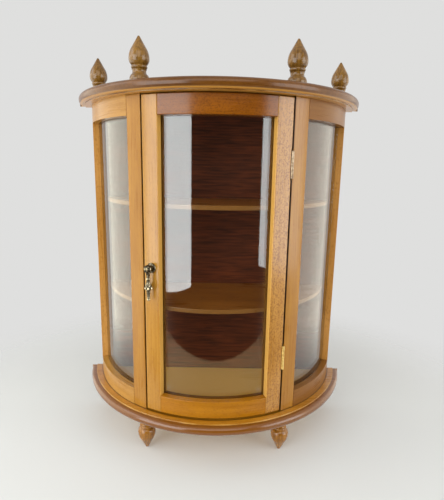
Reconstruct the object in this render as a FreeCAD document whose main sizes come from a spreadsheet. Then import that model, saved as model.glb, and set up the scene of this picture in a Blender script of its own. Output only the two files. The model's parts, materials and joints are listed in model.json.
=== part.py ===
import FreeCAD
import Part
import math
import os
import Sketcher

# Half-round glazed display cabinet with a bowed, hinged door. Millimetres, +Z up, front towards -Y.
# The origin is the middle of the footprint at floor level. The plan is drawn about one centre,
# behind the back of the cabinet, so that boards, rails, glass and shelves are concentric.

SIZES = {
    "frame_radius": (131, "outer face of frame and door, from the plan centre"),
    "frame_thickness": (11, "radial thickness of posts, stiles and side rails"),
    "frame_height": (280, "clear height between base board and top board"),
    "back_offset": (28, "plan centre to the back faces of boards and back stiles"),
    "back_stile_depth": (14, "depth of a back stile, front to back"),
    "overhang": (12, "boards beyond the frame's face"),
    "board_thickness": (9, "top and base board"),
    "land_height": (0.8, "raised flat of a board on the side of the frame"),
    "land_inset": (1.7, "edge of that flat behind the rounding of the nose"),
    "nose_flat": (0.6, "upright band left between the two roundings of the nose"),
    "door_half_angle": (28.4, "middle of the cabinet to the middle of a door gap, degrees about the centre"),
    "door_gap": (1.2, "between door stile and post"),
    "door_thickness": (10.7, "radial thickness of the door"),
    "door_top_gap": (0.9, "door to top board"),
    "door_bottom_gap": (1.4, "door to base board"),
    "post_width": (15.4, "face of a front post, along the curve"),
    "stile_width": (15, "face of a door stile, along the curve"),
    "rail_height": (16.5, "side rails"),
    "door_rail_height": (16, "door rails"),
    "edge_ease": (0.6, "rounding of the outer arrises"),
    "face_lip": (6, "outer face to the bed of the glass"),
    "glass_thickness": (2, "side and door glass"),
    "glass_play": (0.2, "room round the glass and its strips"),
    "rabbet_width": (3, "wood that overlaps the edge of the glass"),
    "panel_thickness": (3.2, "plywood back"),
    "panel_recess": (2, "back faces of the stiles to the back of the panel"),
    "panel_rabbet": (2.5, "panel let into each back stile"),
    "panel_play": (0.2, "room round the panel"),
    "shelf_thickness": (4, "both shelves"),
    "lower_shelf_top": (100, "above the base board"),
    "upper_shelf_top": (191.5, "above the base board"),
    "shelf_play": (0.6, "shelf edge to the inner faces of the frame"),
    "tongue_depth": (2, "shelf tongue let into a post"),
    "tongue_width": (6, "shelf tongue along the curve"),
    "tongue_offset": (5.5, "door side of a post to the middle of a tongue"),
    "tongue_play": (0.1, "room round a tongue in its housing"),
    "brad_radius": (0.6, "brad through the panel into a shelf"),
    "brad_length": (14, "brad"),
    "brad_spacing": (70, "between neighbouring brads of a shelf"),
    "post_axis_offset": (4.6, "door side of a post to the axis of its finial and foot"),
    "back_axis_setback": (8.6, "back faces to the axes of the back finials and feet"),
    "back_axis_inset": (2, "those axes inside the middle line of the frame"),
    "tenon_radius": (2, "tenon of a finial or foot"),
    "tenon_bite": (8, "tenon beyond the board, into the frame"),
    "tenon_play": (0.05, "room round a tenon"),
    "turning_radius": (8.35, "widest part of a finial or foot"),
    "turning_disc_radius": (8.1, "disc at the seat"),
    "turning_disc_edge": (2.2, "upright edge of the disc"),
    "turning_disc_rise": (3.8, "rounded part of the disc"),
    "turning_collar_radius": (6.9, "start of the cove"),
    "turning_cove_rise": (4.2, "height of the cove"),
    "turning_cove_depth": (0.9, "hollow of the cove"),
    "turning_neck_radius": (6.1, "end of the cove"),
    "turning_groove_radius": (5.5, "bottom of the cut above the cove"),
    "turning_groove_rise": (0.3, "each flank of that cut"),
    "turning_bead_radius": (6, "seat of the bead"),
    "turning_bead_rise": (2.5, "height of the bead"),
    "turning_bead_bulge": (0.6, "bead beyond its seat"),
    "turning_bulb_rise": (4.9, "bead to the widest part"),
    "turning_ogive_round": (16, "flank above the widest part"),
    "turning_shoulder_rise": (9, "height of that flank"),
    "turning_tip_rise": (8.4, "straight cone of the tip"),
    "finial_tip_radius": (0.6, "blunt end of a finial"),
    "foot_tip_radius": (1.2, "flat that a foot stands on"),
    "hinge_length": (22.4, "butt hinge"),
    "hinge_spread": (86, "middle of the frame to the middle of a hinge"),
    "hinge_pin_radius": (0.55, "hinge pin"),
    "hinge_pin_proud": (0.3, "pin axis in front of the door's face"),
    "hinge_pin_play": (0.05, "running room in the door's knuckles"),
    "knuckle_radius": (1.2, "outside of the barrel"),
    "knuckle_play": (0.1, "room at each end of a knuckle"),
    "barrel_play": (0.3, "wood or leaf to the barrel"),
    "leaf_width": (8, "leaf from the pin axis inwards"),
    "leaf_thickness": (0.7, "leaf"),
    "leaf_gap": (0.4, "between the closed leaves"),
    "mortise_end": (1.8, "mortise beyond each end of a hinge"),
    "mortise_side": (0.3, "mortise beyond the inner edge of a leaf"),
    "screw_radius": (0.65, "shank of a hinge screw"),
    "screw_head_radius": (1.2, "head of a hinge screw"),
    "screw_head_play": (0.05, "head in its hole in the leaf"),
    "screw_length": (5, "shank in the wood"),
    "screw_pitch": (12, "between the two screws of a leaf"),
    "screw_setback": (4.8, "pin axis to the screws"),
    "pull_height": (131.4, "pin of the drop above the base board"),
    "pull_reach": (5, "door face to the axis of knob and drop"),
    "rosette_radius": (4.5, "round back plate of the pull"),
    "rosette_thickness": (1.2, "round back plate of the pull"),
    "rosette_ease": (0.5, "rounding of its rim"),
    "knob_radius": (3.6, "widest part of the knob"),
    "knob_rise": (5.6, "drop pin to the widest part of the knob"),
    "knob_dome": (3.7, "widest part to the top of the knob"),
    "knob_drop": (0.9, "cheeks below the drop pin"),
    "cheek_radius": (1.5, "lower end of the knob"),
    "knob_post_radius": (1.9, "arm from rosette to knob"),
    "stud_radius": (1.5, "stud of the knob through the stile"),
    "stud_play": (0.1, "room round the stud"),
    "stud_tail": (0.8, "stud beyond the nut"),
    "nut_flats": (5, "across the flats"),
    "nut_thickness": (2, "nut behind the stile"),
    "nut_play": (0.1, "nut to the hollow face of the stile"),
    "drop_pin_radius": (0.5, "pin that carries the drop"),
    "drop_pin_play": (0.05, "running room in the eye"),
    "drop_pin_length": (3.4, "pin across the cheeks"),
    "eye_radius": (1.2, "rounded end of the drop's eye"),
    "eye_thickness": (1.2, "flat eye of the drop"),
    "eye_play": (0.15, "room at each side of the eye"),
    "eye_top_play": (0.4, "room above the eye"),
    "eye_drop": (2.2, "pin to the collar of the drop"),
    "collar_radius": (2, "collar of the drop"),
    "collar_height": (0.9, "collar of the drop"),
    "waist_radius": (1.5, "waist under the collar"),
    "waist_height": (1.5, "collar to waist"),
    "bell_radius": (3.75, "lip of the bell"),
    "bell_height": (6.9, "waist to lip"),
    "bell_flare": (0.5, "hollow of the bell's flank"),
    "bell_lip": (0.5, "underside of the lip"),
    "stem_radius": (2.1, "stem below the bell"),
    "stem_end_radius": (1.5, "lower end of the stem"),
    "stem_height": (6.6, "stem"),
    "tip_groove_radius": (1, "groove above the bead"),
    "tip_groove_height": (0.6, "groove above the bead"),
    "tip_bead_radius": (1.55, "bead at the end of the drop"),
    "catch_below_shelf": (14.5, "upper shelf to the stop block"),
    "catch_block_height": (26, "stop block inside the latch post"),
    "catch_block_depth": (5, "stop block, radial"),
    "catch_block_seat": (9, "stop block on the post, along the curve"),
    "catch_overlap": (3.8, "stop block behind the door stile"),
    "magnet_radius": (1.5, "magnet in the stop block"),
    "magnet_length": (3, "magnet"),
    "magnet_sink": (0.2, "magnet below the face of the block"),
    "strike_radius": (1.6, "steel strike in the stile"),
    "strike_thickness": (1, "strike"),
    "strike_sink": (0.1, "strike below the inner face of the stile"),
}

doc = FreeCAD.newDocument("DisplayCabinet")
sheet = doc.addObject("Spreadsheet::Sheet", "Sizes")
for row, (alias, (number, note)) in enumerate(SIZES.items(), start=1):
    sheet.set(f"A{row}", note)
    sheet.set(f"B{row}", str(number))
    sheet.setAlias(f"B{row}", alias)
doc.recompute()

Vector = FreeCAD.Vector
Z_AXIS = Vector(0, 0, 1)
nodes = []


def size(alias):
    """Expression that reads one driving dimension."""
    return f"Sizes.{alias}"


def value(expression):
    """Number that an expression gives now."""
    result = sheet.evalExpression(expression)
    return float(getattr(result, "Value", result))


def arc_angle(length, radius):
    """Expression for the angle of an arc of a given length."""
    return f"(({length}) / ({radius}) * 180 deg / pi)"


def round_radius(rise, bulge):
    """Expression for the radius of an arc that meets the upright at one end."""
    return f"((({rise})^2 + ({bulge})^2) / (2 * ({bulge})))"


# Derived sizes, as expressions on the sheet.
FRAME_R = size("frame_radius")
FRAME_IN = f"({FRAME_R} - Sizes.frame_thickness)"
FRAME_MID = f"({FRAME_R} - Sizes.frame_thickness / 2)"
DOOR_IN = f"({FRAME_R} - Sizes.door_thickness)"
BED_R = f"({FRAME_R} - Sizes.face_lip)"
GLASS_OUT = f"({BED_R} - Sizes.glass_play)"
GLASS_IN = f"({GLASS_OUT} - Sizes.glass_thickness)"
STRIP_OUT = f"({GLASS_IN} - Sizes.glass_play)"
BOARD_R = f"({FRAME_R} + Sizes.overhang)"
PLAN_Y = f"(({BOARD_R} + Sizes.back_offset) / 2)"
TURNING_LEVELS = ["0"]
for step in ("disc_edge", "disc_rise", "cove_rise", "groove_rise", "groove_rise", "bead_rise", "bulb_rise",
             "shoulder_rise", "tip_rise"):
    TURNING_LEVELS.append(f"({TURNING_LEVELS[-1]} + Sizes.turning_{step})")
TURNING_HEIGHT = TURNING_LEVELS[-1]
TENON_LENGTH = "(Sizes.board_thickness + Sizes.tenon_bite)"
BASE_TOP = f"({TURNING_HEIGHT} + Sizes.board_thickness)"
FRAME_TOP = f"({BASE_TOP} + Sizes.frame_height)"
GAP_AT = "(Sizes.door_half_angle * 1 deg)"
HALF_GAP = arc_angle("Sizes.door_gap / 2", FRAME_R)
STILE_ARC = arc_angle("Sizes.stile_width", FRAME_R)
POST_ARC = arc_angle("Sizes.post_width", FRAME_R)
RABBET_ARC = arc_angle("Sizes.rabbet_width", BED_R)
PLAY_ARC = arc_angle("Sizes.glass_play", BED_R)
SIGHT_AT = f"({GAP_AT} - {HALF_GAP} - {STILE_ARC})"
LATCH_MID = f"({GAP_AT} - {HALF_GAP} - {STILE_ARC} / 2)"
SIDE_START = f"({GAP_AT} + {HALF_GAP} + {POST_ARC})"
SIDE_END = f"acos((Sizes.back_offset + Sizes.back_stile_depth) / {FRAME_R})"
SIDE_MID = f"(({SIDE_START} + {SIDE_END}) / 2)"
SIDE_HALF = f"(({SIDE_END} - {SIDE_START}) / 2)"
POST_AXIS_AT = f"({GAP_AT} + {HALF_GAP} + {arc_angle('Sizes.post_axis_offset', FRAME_R)})"
BACK_AXIS_Y = "(Sizes.back_offset + Sizes.back_axis_setback)"
BACK_AXIS_X = f"sqrt(({FRAME_MID} - Sizes.back_axis_inset)^2 - {BACK_AXIS_Y}^2)"
PANEL_BACK = "(Sizes.back_offset + Sizes.panel_recess)"
PANEL_FRONT = f"({PANEL_BACK} + Sizes.panel_thickness)"
PANEL_HALF = f"(sqrt({FRAME_IN}^2 - {PANEL_FRONT}^2) + Sizes.panel_rabbet)"
SHELF_R = f"({FRAME_IN} - Sizes.shelf_play)"
DOOR_HEIGHT = "(Sizes.frame_height - Sizes.door_top_gap - Sizes.door_bottom_gap)"
DOOR_BOTTOM = f"({BASE_TOP} + Sizes.door_bottom_gap)"
HINGE_AXIS_R = f"({FRAME_R} + Sizes.hinge_pin_proud)"
LEAF_FACE = "(Sizes.leaf_gap / 2)"
LEAF_BACK = f"({LEAF_FACE} + Sizes.leaf_thickness)"
KNUCKLE_COUNT = 5
KNUCKLE_PITCH = f"(Sizes.hinge_length / {KNUCKLE_COUNT})"
PULL_AXIS_R = f"({FRAME_R} + Sizes.pull_reach)"
# A cut runs this far past the face where it leaves the wood.
CUT_PAST = "2"


def settle():
    """Recompute and stop at the first failed object."""
    doc.recompute()
    for item in doc.Objects:
        if "Invalid" in item.State or "Error" in item.State:
            raise RuntimeError(f"{item.Label}: {item.State}")


def new_body(label, level, azimuth="0 deg", radius="0"):
    """Empty body whose X axis points outwards at an azimuth from the front, positive to the right."""
    body = doc.addObject("PartDesign::Body", label)
    turn = value(azimuth) - 90
    body.Placement = FreeCAD.Placement(Vector(0, 0, 0), FreeCAD.Rotation(Z_AXIS, turn))
    body.setExpression("Placement.Base.x", f"({radius}) * sin({azimuth})")
    body.setExpression("Placement.Base.y", f"{PLAN_Y} - ({radius}) * cos({azimuth})")
    body.setExpression("Placement.Base.z", level)
    return body


def new_sketch(body, name, plane, level):
    """Sketch on one of the body's own planes, lifted along the plane's normal."""
    sketch = body.newObject("Sketcher::SketchObject", name)
    support = next(item for item in body.Origin.OriginFeatures if item.Role == plane)
    sketch.AttachmentSupport = [(support, "")]
    sketch.MapMode = "FlatFace"
    sketch.setExpression("AttachmentOffset.Base.z", level)
    return sketch


def bind(sketch, kind, *where, expression):
    """Add a dimension to a sketch and tie it to the sheet."""
    number = value(expression)
    if kind == "Angle":
        number = math.radians(number)
    index = sketch.addConstraint(Sketcher.Constraint(kind, *where, number))
    sketch.setExpression(f"Constraints[{index}]", expression)


def polar(radius, angle):
    """Point at a radius and an angle in radians."""
    return Vector(radius * math.cos(angle), radius * math.sin(angle), 0)


def sector(body, name, inner, outer, start, end, level="0"):
    """Sketch of a ring sector about the body's Z axis."""
    sketch = new_sketch(body, name, "XY_Plane", level)
    near, far = value(inner), value(outer)
    first, last = math.radians(value(start)), math.radians(value(end))
    for radius in (far, near):
        sketch.addGeometry(Part.ArcOfCircle(Part.Circle(Vector(), Z_AXIS, radius), first, last))
    for angle in (first, last):
        sketch.addGeometry(Part.LineSegment(polar(near, angle), polar(far, angle)))
    for arc in (0, 1):
        sketch.addConstraint(Sketcher.Constraint("Coincident", arc, 3, -1, 1))
    for line, end_point in ((2, 1), (3, 2)):
        sketch.addConstraint(Sketcher.Constraint("Coincident", line, 1, 1, end_point))
        sketch.addConstraint(Sketcher.Constraint("Coincident", line, 2, 0, end_point))
        sketch.addConstraint(Sketcher.Constraint("PointOnObject", -1, 1, line))
    bind(sketch, "Radius", 0, expression=outer)
    bind(sketch, "Radius", 1, expression=inner)
    bind(sketch, "Angle", 2, expression=start)
    bind(sketch, "Angle", 3, expression=end)
    return sketch


def half_round(body, name, radius, setback, level="0"):
    """Sketch of a disc cut off straight, a setback in front of its centre; X points to the front."""
    sketch = new_sketch(body, name, "XY_Plane", level)
    reach, cut = value(radius), value(setback)
    angle = math.acos(cut / reach)
    sketch.addGeometry(Part.ArcOfCircle(Part.Circle(Vector(), Z_AXIS, reach), -angle, angle))
    sketch.addGeometry(Part.LineSegment(polar(reach, angle), polar(reach, -angle)))
    sketch.addConstraint(Sketcher.Constraint("Coincident", 0, 3, -1, 1))
    sketch.addConstraint(Sketcher.Constraint("Coincident", 0, 2, 1, 1))
    sketch.addConstraint(Sketcher.Constraint("Coincident", 0, 1, 1, 2))
    sketch.addConstraint(Sketcher.Constraint("Vertical", 1))
    bind(sketch, "Radius", 0, expression=radius)
    bind(sketch, "DistanceX", -1, 1, 1, 1, expression=setback)
    return sketch


def circles(body, name, plane, spots, radius, level="0"):
    """Sketch of equal circles at (x, y) expressions."""
    sketch = new_sketch(body, name, plane, level)
    for index, (across, along) in enumerate(spots):
        centre = Vector(value(across), value(along), 0)
        sketch.addGeometry(Part.Circle(centre, Z_AXIS, value(radius)))
        pin_point(sketch, index, 3, across, along)
        bind(sketch, "Radius", index, expression=radius)
    return sketch


def pin_point(sketch, item, point, across, along):
    """Fix a point of a sketch by its two coordinates."""
    for kind, axis, expression in (("DistanceX", -2, across), ("DistanceY", -1, along)):
        if expression == "0":
            sketch.addConstraint(Sketcher.Constraint("PointOnObject", item, point, axis))
        else:
            bind(sketch, kind, -1, 1, item, point, expression=expression)


def outline(body, name, plane, corners, level="0"):
    """Closed sketch through corners (x, y) or (x, y, radius, side) for an arc to the next corner.

    The side is "out" where the arc bulges to the right of the way the outline runs, or else "in".
    """
    sketch = new_sketch(body, name, plane, level)
    spots = [Vector(value(corner[0]), value(corner[1]), 0) for corner in corners]
    ends = []
    for index, corner in enumerate(corners):
        start, end = spots[index], spots[(index + 1) % len(spots)]
        if len(corner) == 2:
            sketch.addGeometry(Part.LineSegment(start, end))
            ends.append((1, 2))
            continue
        counter = corner[3] == "out"
        chord = end - start
        radius = value(corner[2])
        offset = math.sqrt(radius ** 2 - (chord.Length / 2) ** 2) * (1 if counter else -1)
        centre = (start + end) * 0.5 + Vector(-chord.y, chord.x, 0) / chord.Length * offset
        first, last = (start, end) if counter else (end, start)
        angles = [math.atan2(spot.y - centre.y, spot.x - centre.x) for spot in (first, last)]
        sketch.addGeometry(Part.ArcOfCircle(Part.Circle(centre, Z_AXIS, radius), *angles))
        ends.append((1, 2) if counter else (2, 1))
    for index, corner in enumerate(corners):
        before = index - 1 if index else len(corners) - 1
        joint = Sketcher.Constraint("Coincident", before, ends[before][1], index, ends[index][0])
        sketch.addConstraint(joint)
        pin_point(sketch, index, ends[index][0], corner[0], corner[1])
    for index, corner in enumerate(corners):
        if len(corner) > 2:
            bind(sketch, "Radius", index, expression=corner[2])
    return sketch


def rectangle(body, name, plane, low, high, level="0"):
    """Sketch of a rectangle between two corners of expressions."""
    corners = [(low[0], low[1]), (high[0], low[1]), (high[0], high[1]), (low[0], high[1])]
    return outline(body, name, plane, corners, level)


def pad(body, sketch, length, midplane=False):
    """Add material along the sketch's normal."""
    feature = body.newObject("PartDesign::Pad", f"{sketch.Name}_pad")
    feature.Profile = sketch
    feature.SideType = "Symmetric" if midplane else "One side"
    feature.setExpression("Length", length)
    settle()
    return feature


def pocket(body, sketch, length, along=False, midplane=False):
    """Cut against the sketch's normal, or along it, and make sure that wood was taken."""
    before = body.Shape.Volume
    feature = body.newObject("PartDesign::Pocket", f"{sketch.Name}_cut")
    feature.Profile = sketch
    feature.SideType = "Symmetric" if midplane else "One side"
    feature.Reversed = along
    feature.setExpression("Length", length)
    settle()
    if body.Shape.Volume > before - 1e-4:
        raise RuntimeError(f"{feature.Label} cuts nothing")
    return feature


def revolve(body, sketch):
    """Turn a profile about the sketch's upright axis."""
    feature = body.newObject("PartDesign::Revolution", f"{sketch.Name}_turn")
    feature.Profile = sketch
    feature.ReferenceAxis = (sketch, ["V_Axis"])
    feature.Angle = 360
    settle()
    return feature


def ease(body, radius, chosen):
    """Round the edges of the body's last feature that a test picks."""
    base = body.Tip
    names = [f"Edge{index}" for index, edge in enumerate(base.Shape.Edges, start=1) if chosen(edge)]
    feature = body.newObject("PartDesign::Fillet", f"{body.Name}_ease")
    feature.Base = (base, names)
    feature.setExpression("Radius", radius)
    settle()


def on_radius(edge, radius):
    """True where an edge lies wholly at a distance from the Z axis."""
    spots = [edge.valueAt(edge.FirstParameter + share * (edge.LastParameter - edge.FirstParameter))
             for share in (0, 0.5, 1)]
    return all(abs(math.hypot(spot.x, spot.y) - radius) < 1e-3 for spot in spots)


def is_upright(edge):
    """True for a straight edge along Z."""
    return edge.Curve.TypeId == "Part::GeomLine" and abs(edge.tangentAt(edge.FirstParameter).z) > 0.999


def is_arc(edge):
    """True for an edge bent in plan."""
    return edge.Curve.TypeId == "Part::GeomCircle"


def keep(item):
    """Count an object as a sub-part of the cabinet."""
    nodes.append(item)
    return item


def mirrored(body, label):
    """The same piece on the left of the cabinet."""
    copy = doc.addObject("Part::Mirroring", label)
    copy.Source = body
    copy.Normal = Vector(1, 0, 0)
    return keep(copy)


def axis_spots():
    """Places of the four turned axes in plan, by name, from the plan centre with X to the front."""
    front = [f"{FRAME_MID} * cos({POST_AXIS_AT})", f"{FRAME_MID} * sin({POST_AXIS_AT})"]
    back = [BACK_AXIS_Y, BACK_AXIS_X]
    spots = {}
    for place, (ahead, aside) in (("front", front), ("back", back)):
        spots[f"{place}_left"] = (ahead, f"-({aside})")
        spots[f"{place}_right"] = (ahead, aside)
    return spots


def board(label, level, upside_down):
    """Half-round board with a rounded nose and a raised flat on the side of the frame."""
    body = new_body(label, level)
    plate = f"(Sizes.board_thickness - {size('land_height')})"
    plate_level = size("land_height") if upside_down else "0"
    land_level = "0" if upside_down else plate
    pad(body, half_round(body, f"{label}_plan", BOARD_R, size("back_offset"), plate_level), plate)
    reach = value(BOARD_R)
    ease(body, f"({plate} - Sizes.nose_flat) / 2", lambda edge: is_arc(edge) and on_radius(edge, reach))
    land_radius = f"({BOARD_R} - Sizes.land_inset - ({plate} - Sizes.nose_flat) / 2)"
    land = half_round(body, f"{label}_land", land_radius, size("back_offset"), land_level)
    pad(body, land, size("land_height"))
    holes = circles(body, f"{label}_holes", "XY_Plane", axis_spots().values(),
                    "Sizes.tenon_radius + Sizes.tenon_play", size("board_thickness"))
    pocket(body, holes, size("board_thickness"))
    return keep(body)


def turning_profile(tip):
    """Corners of half the section of a finial, from its tenon to its tip."""
    disc, collar, neck = (f"Sizes.turning_{part}_radius" for part in ("disc", "collar", "neck"))
    seat = size("turning_bead_radius")
    groove = size("turning_groove_radius")
    widest = size("turning_radius")
    flank = size("turning_ogive_round")
    shoulder = f"({widest} - {flank} + sqrt({flank}^2 - Sizes.turning_shoulder_rise^2))"
    disc_round = round_radius(size("turning_disc_rise"), f"({disc} - {collar})")
    cove_half = f"(sqrt(Sizes.turning_cove_rise^2 + ({collar} - {neck})^2) / 2)"
    cove_round = round_radius(cove_half, size("turning_cove_depth"))
    bead_round = round_radius("(Sizes.turning_bead_rise / 2)", size("turning_bead_bulge"))
    bulb_round = round_radius(size("turning_bulb_rise"), f"({widest} - {seat})")
    level = TURNING_LEVELS
    tenon = size("tenon_radius")
    return [("0", f"-{TENON_LENGTH}"), (tenon, f"-{TENON_LENGTH}"), (tenon, "0"), (disc, "0"),
            (disc, level[1], disc_round, "out"), (collar, level[2], cove_round, "in"), (neck, level[3]),
            (groove, level[4]), (seat, level[5], bead_round, "out"), (seat, level[6], bulb_round, "out"),
            (widest, level[7], flank, "out"), (shoulder, level[8]), (tip, level[9]), ("0", level[9])]


def turning(label, spot, level, tip, upside_down):
    """Turned finial, or the same form upside down as a foot."""
    ahead, aside = spot
    body = doc.addObject("PartDesign::Body", label)
    turn = 180 if upside_down else 0
    body.Placement = FreeCAD.Placement(Vector(), FreeCAD.Rotation(Vector(1, 0, 0), turn))
    body.setExpression("Placement.Base.x", aside)
    body.setExpression("Placement.Base.y", f"{PLAN_Y} - {ahead}")
    body.setExpression("Placement.Base.z", level)
    revolve(body, outline(body, f"{label}_profile", "XZ_Plane", turning_profile(tip)))
    return keep(body)


def tenon_hole(body, name, spot, mouth, upwards):
    """Blind hole for a tenon, from its mouth upwards or downwards; place from the body's own axes."""
    hole = circles(body, name, "XY_Plane", [spot], "Sizes.tenon_radius + Sizes.tenon_play", mouth)
    pocket(body, hole, size("tenon_bite"), along=upwards)


def rabbet(body, name, inner, start, end, low, high):
    """Cut the bed of a glass into the inner side of a frame member."""
    bed = sector(body, name, f"({inner} - {CUT_PAST})", BED_R, start, end, high)
    pocket(body, bed, f"({high}) - ({low})")


SIDE_LOW = "(Sizes.rail_height - Sizes.rabbet_width)"
SIDE_HIGH = f"(Sizes.frame_height - {SIDE_LOW})"
DOOR_LOW = "(Sizes.door_rail_height - Sizes.rabbet_width)"
DOOR_HIGH = f"({DOOR_HEIGHT} - {DOOR_LOW})"
TONGUE_AT = f"({HALF_GAP} + {arc_angle('Sizes.tongue_offset', FRAME_R)})"
TONGUE_HALF = arc_angle("Sizes.tongue_width / 2", FRAME_IN)
TONGUE_PLAY_ARC = arc_angle("Sizes.tongue_play", FRAME_IN)
SHELF_TOPS = {"lower_shelf": size("lower_shelf_top"), "upper_shelf": size("upper_shelf_top")}


def post(label, side):
    """Front post; the right one is cut for the hinges. Its X axis lies in the middle of the door gap."""
    sign = "" if side > 0 else "-"
    body = new_body(label, BASE_TOP, f"{sign}{GAP_AT}")
    faces = sorted([f"{sign}{HALF_GAP}", f"{sign}({HALF_GAP} + {POST_ARC})"], key=value)
    pad(body, sector(body, f"{label}_plan", FRAME_IN, FRAME_R, *faces), size("frame_height"))
    reach = value(FRAME_R)
    ease(body, size("edge_ease"), lambda edge: is_upright(edge) and on_radius(edge, reach))
    bed = sorted([f"{sign}({HALF_GAP} + {POST_ARC} - {RABBET_ARC})",
                  f"{sign}({HALF_GAP} + {POST_ARC} + {RABBET_ARC})"], key=value)
    rabbet(body, f"{label}_bed", FRAME_IN, *bed, SIDE_LOW, SIDE_HIGH)
    for shelf, top in SHELF_TOPS.items():
        span = sorted([f"{sign}({TONGUE_AT} - {TONGUE_HALF} - {TONGUE_PLAY_ARC})",
                       f"{sign}({TONGUE_AT} + {TONGUE_HALF} + {TONGUE_PLAY_ARC})"], key=value)
        housing = sector(body, f"{label}_{shelf}", f"({FRAME_IN} - {CUT_PAST})",
                         f"({FRAME_IN} + Sizes.tongue_depth + Sizes.tongue_play)", *span, top)
        pocket(body, housing, size("shelf_thickness"))
    offset = f"({POST_AXIS_AT} - {GAP_AT})"
    spot = (f"{FRAME_MID} * cos({offset})", f"{sign}{FRAME_MID} * sin({offset})")
    tenon_hole(body, f"{label}_low_tenon", spot, "0", True)
    tenon_hole(body, f"{label}_high_tenon", spot, size("frame_height"), False)
    return keep(body)


HINGE_LEVELS = {"upper": "(Sizes.frame_height / 2 + Sizes.hinge_spread)",
                "lower": "(Sizes.frame_height / 2 - Sizes.hinge_spread)"}
SCREW_X = f"({HINGE_AXIS_R} - Sizes.screw_setback)"


def screw_levels(middle):
    """Heights of the two screws of a leaf."""
    return [f"({middle} - Sizes.screw_pitch / 2)", f"({middle} + Sizes.screw_pitch / 2)"]


def hinge_cuts(body, name, below, on_post):
    """Mortises for leaf and barrel and pilot holes for the screws, in a post or the hinge stile."""
    for place, middle in HINGE_LEVELS.items():
        at = f"({middle} - {below})"
        half = "(Sizes.hinge_length / 2 + Sizes.mortise_end)"
        inner = f"({HINGE_AXIS_R} - Sizes.leaf_width - Sizes.mortise_side)"
        leaf = rectangle(body, f"{name}_{place}_leaf", "XZ_Plane", (inner, f"({at} - {half})"),
                         (f"({FRAME_R} + {CUT_PAST})", f"({at} + {half})"))
        pocket(body, leaf, LEAF_BACK, along=not on_post)
        barrel = circles(body, f"{name}_{place}_barrel", "XY_Plane", [(HINGE_AXIS_R, "0")],
                         "Sizes.knuckle_radius + Sizes.barrel_play", f"({at} + {half})")
        pocket(body, barrel, f"2 * {half}")
        pilots = circles(body, f"{name}_{place}_pilots", "XZ_Plane",
                         [(SCREW_X, level) for level in screw_levels(at)], size("screw_radius"))
        pocket(body, pilots, f"{LEAF_BACK} + Sizes.screw_length", along=not on_post)


def trim_back(body, name, height):
    """Cut a piece off flat at the back of the cabinet and let the back panel into it. Y points right."""
    inside = f"({FRAME_IN} / 2)"
    behind = rectangle(body, f"{name}_back", "XY_Plane", (f"-{CUT_PAST}", inside),
                       (size("back_offset"), f"({FRAME_R} + {CUT_PAST})"), height)
    pocket(body, behind, height)
    panel_bed = rectangle(body, f"{name}_panel", "XY_Plane", (f"-{CUT_PAST}", inside),
                          (PANEL_FRONT, f"({PANEL_HALF} + Sizes.panel_play)"), height)
    pocket(body, panel_bed, height)


def back_stile():
    """Right back stile between the two side rails, with beds for the side glass and the back panel."""
    body = new_body("back_stile_right", f"({BASE_TOP} + Sizes.rail_height)")
    height = "(Sizes.frame_height - 2 * Sizes.rail_height)"
    pad(body, sector(body, "back_stile_plan", FRAME_IN, FRAME_R, SIDE_END, "90 deg"), height)
    trim_back(body, "back_stile", height)
    reach = value(FRAME_R)
    ease(body, size("edge_ease"), lambda edge: is_upright(edge) and on_radius(edge, reach))
    rabbet(body, "back_stile_bed", FRAME_IN, f"({SIDE_END} - {RABBET_ARC})", f"({SIDE_END} + {RABBET_ARC})",
           "0", height)
    keep(body)
    mirrored(body, "back_stile_left")


def side_rail(label, level, bed_low, bed_high, at_top):
    """Bowed rail of the right side, from the front post to the back, with a hole for the back tenon."""
    body = new_body(label, level)
    height = size("rail_height")
    pad(body, sector(body, f"{label}_plan", FRAME_IN, FRAME_R, SIDE_START, "90 deg"), height)
    trim_back(body, label, height)
    reach = value(FRAME_R)
    ease(body, size("edge_ease"), lambda edge: on_radius(edge, reach))
    rabbet(body, f"{label}_bed", FRAME_IN, f"({SIDE_START} - {RABBET_ARC})", f"({SIDE_END} + {RABBET_ARC})",
           bed_low, bed_high)
    tenon_hole(body, f"{label}_tenon", (BACK_AXIS_Y, BACK_AXIS_X), height if at_top else "0", not at_top)
    return keep(body)


def door_rail(label, level, bed_low, bed_high):
    """Bowed rail between the stiles of the door, with a bed for the glass on its inner side."""
    body = new_body(label, level)
    plan = sector(body, f"{label}_plan", DOOR_IN, FRAME_R, f"-{SIGHT_AT}", SIGHT_AT)
    pad(body, plan, size("door_rail_height"))
    reach = value(FRAME_R)
    ease(body, size("edge_ease"), lambda edge: on_radius(edge, reach))
    past = f"({SIGHT_AT} + {RABBET_ARC})"
    rabbet(body, f"{label}_bed", DOOR_IN, f"-{past}", past, bed_low, bed_high)
    return keep(body)


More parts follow.
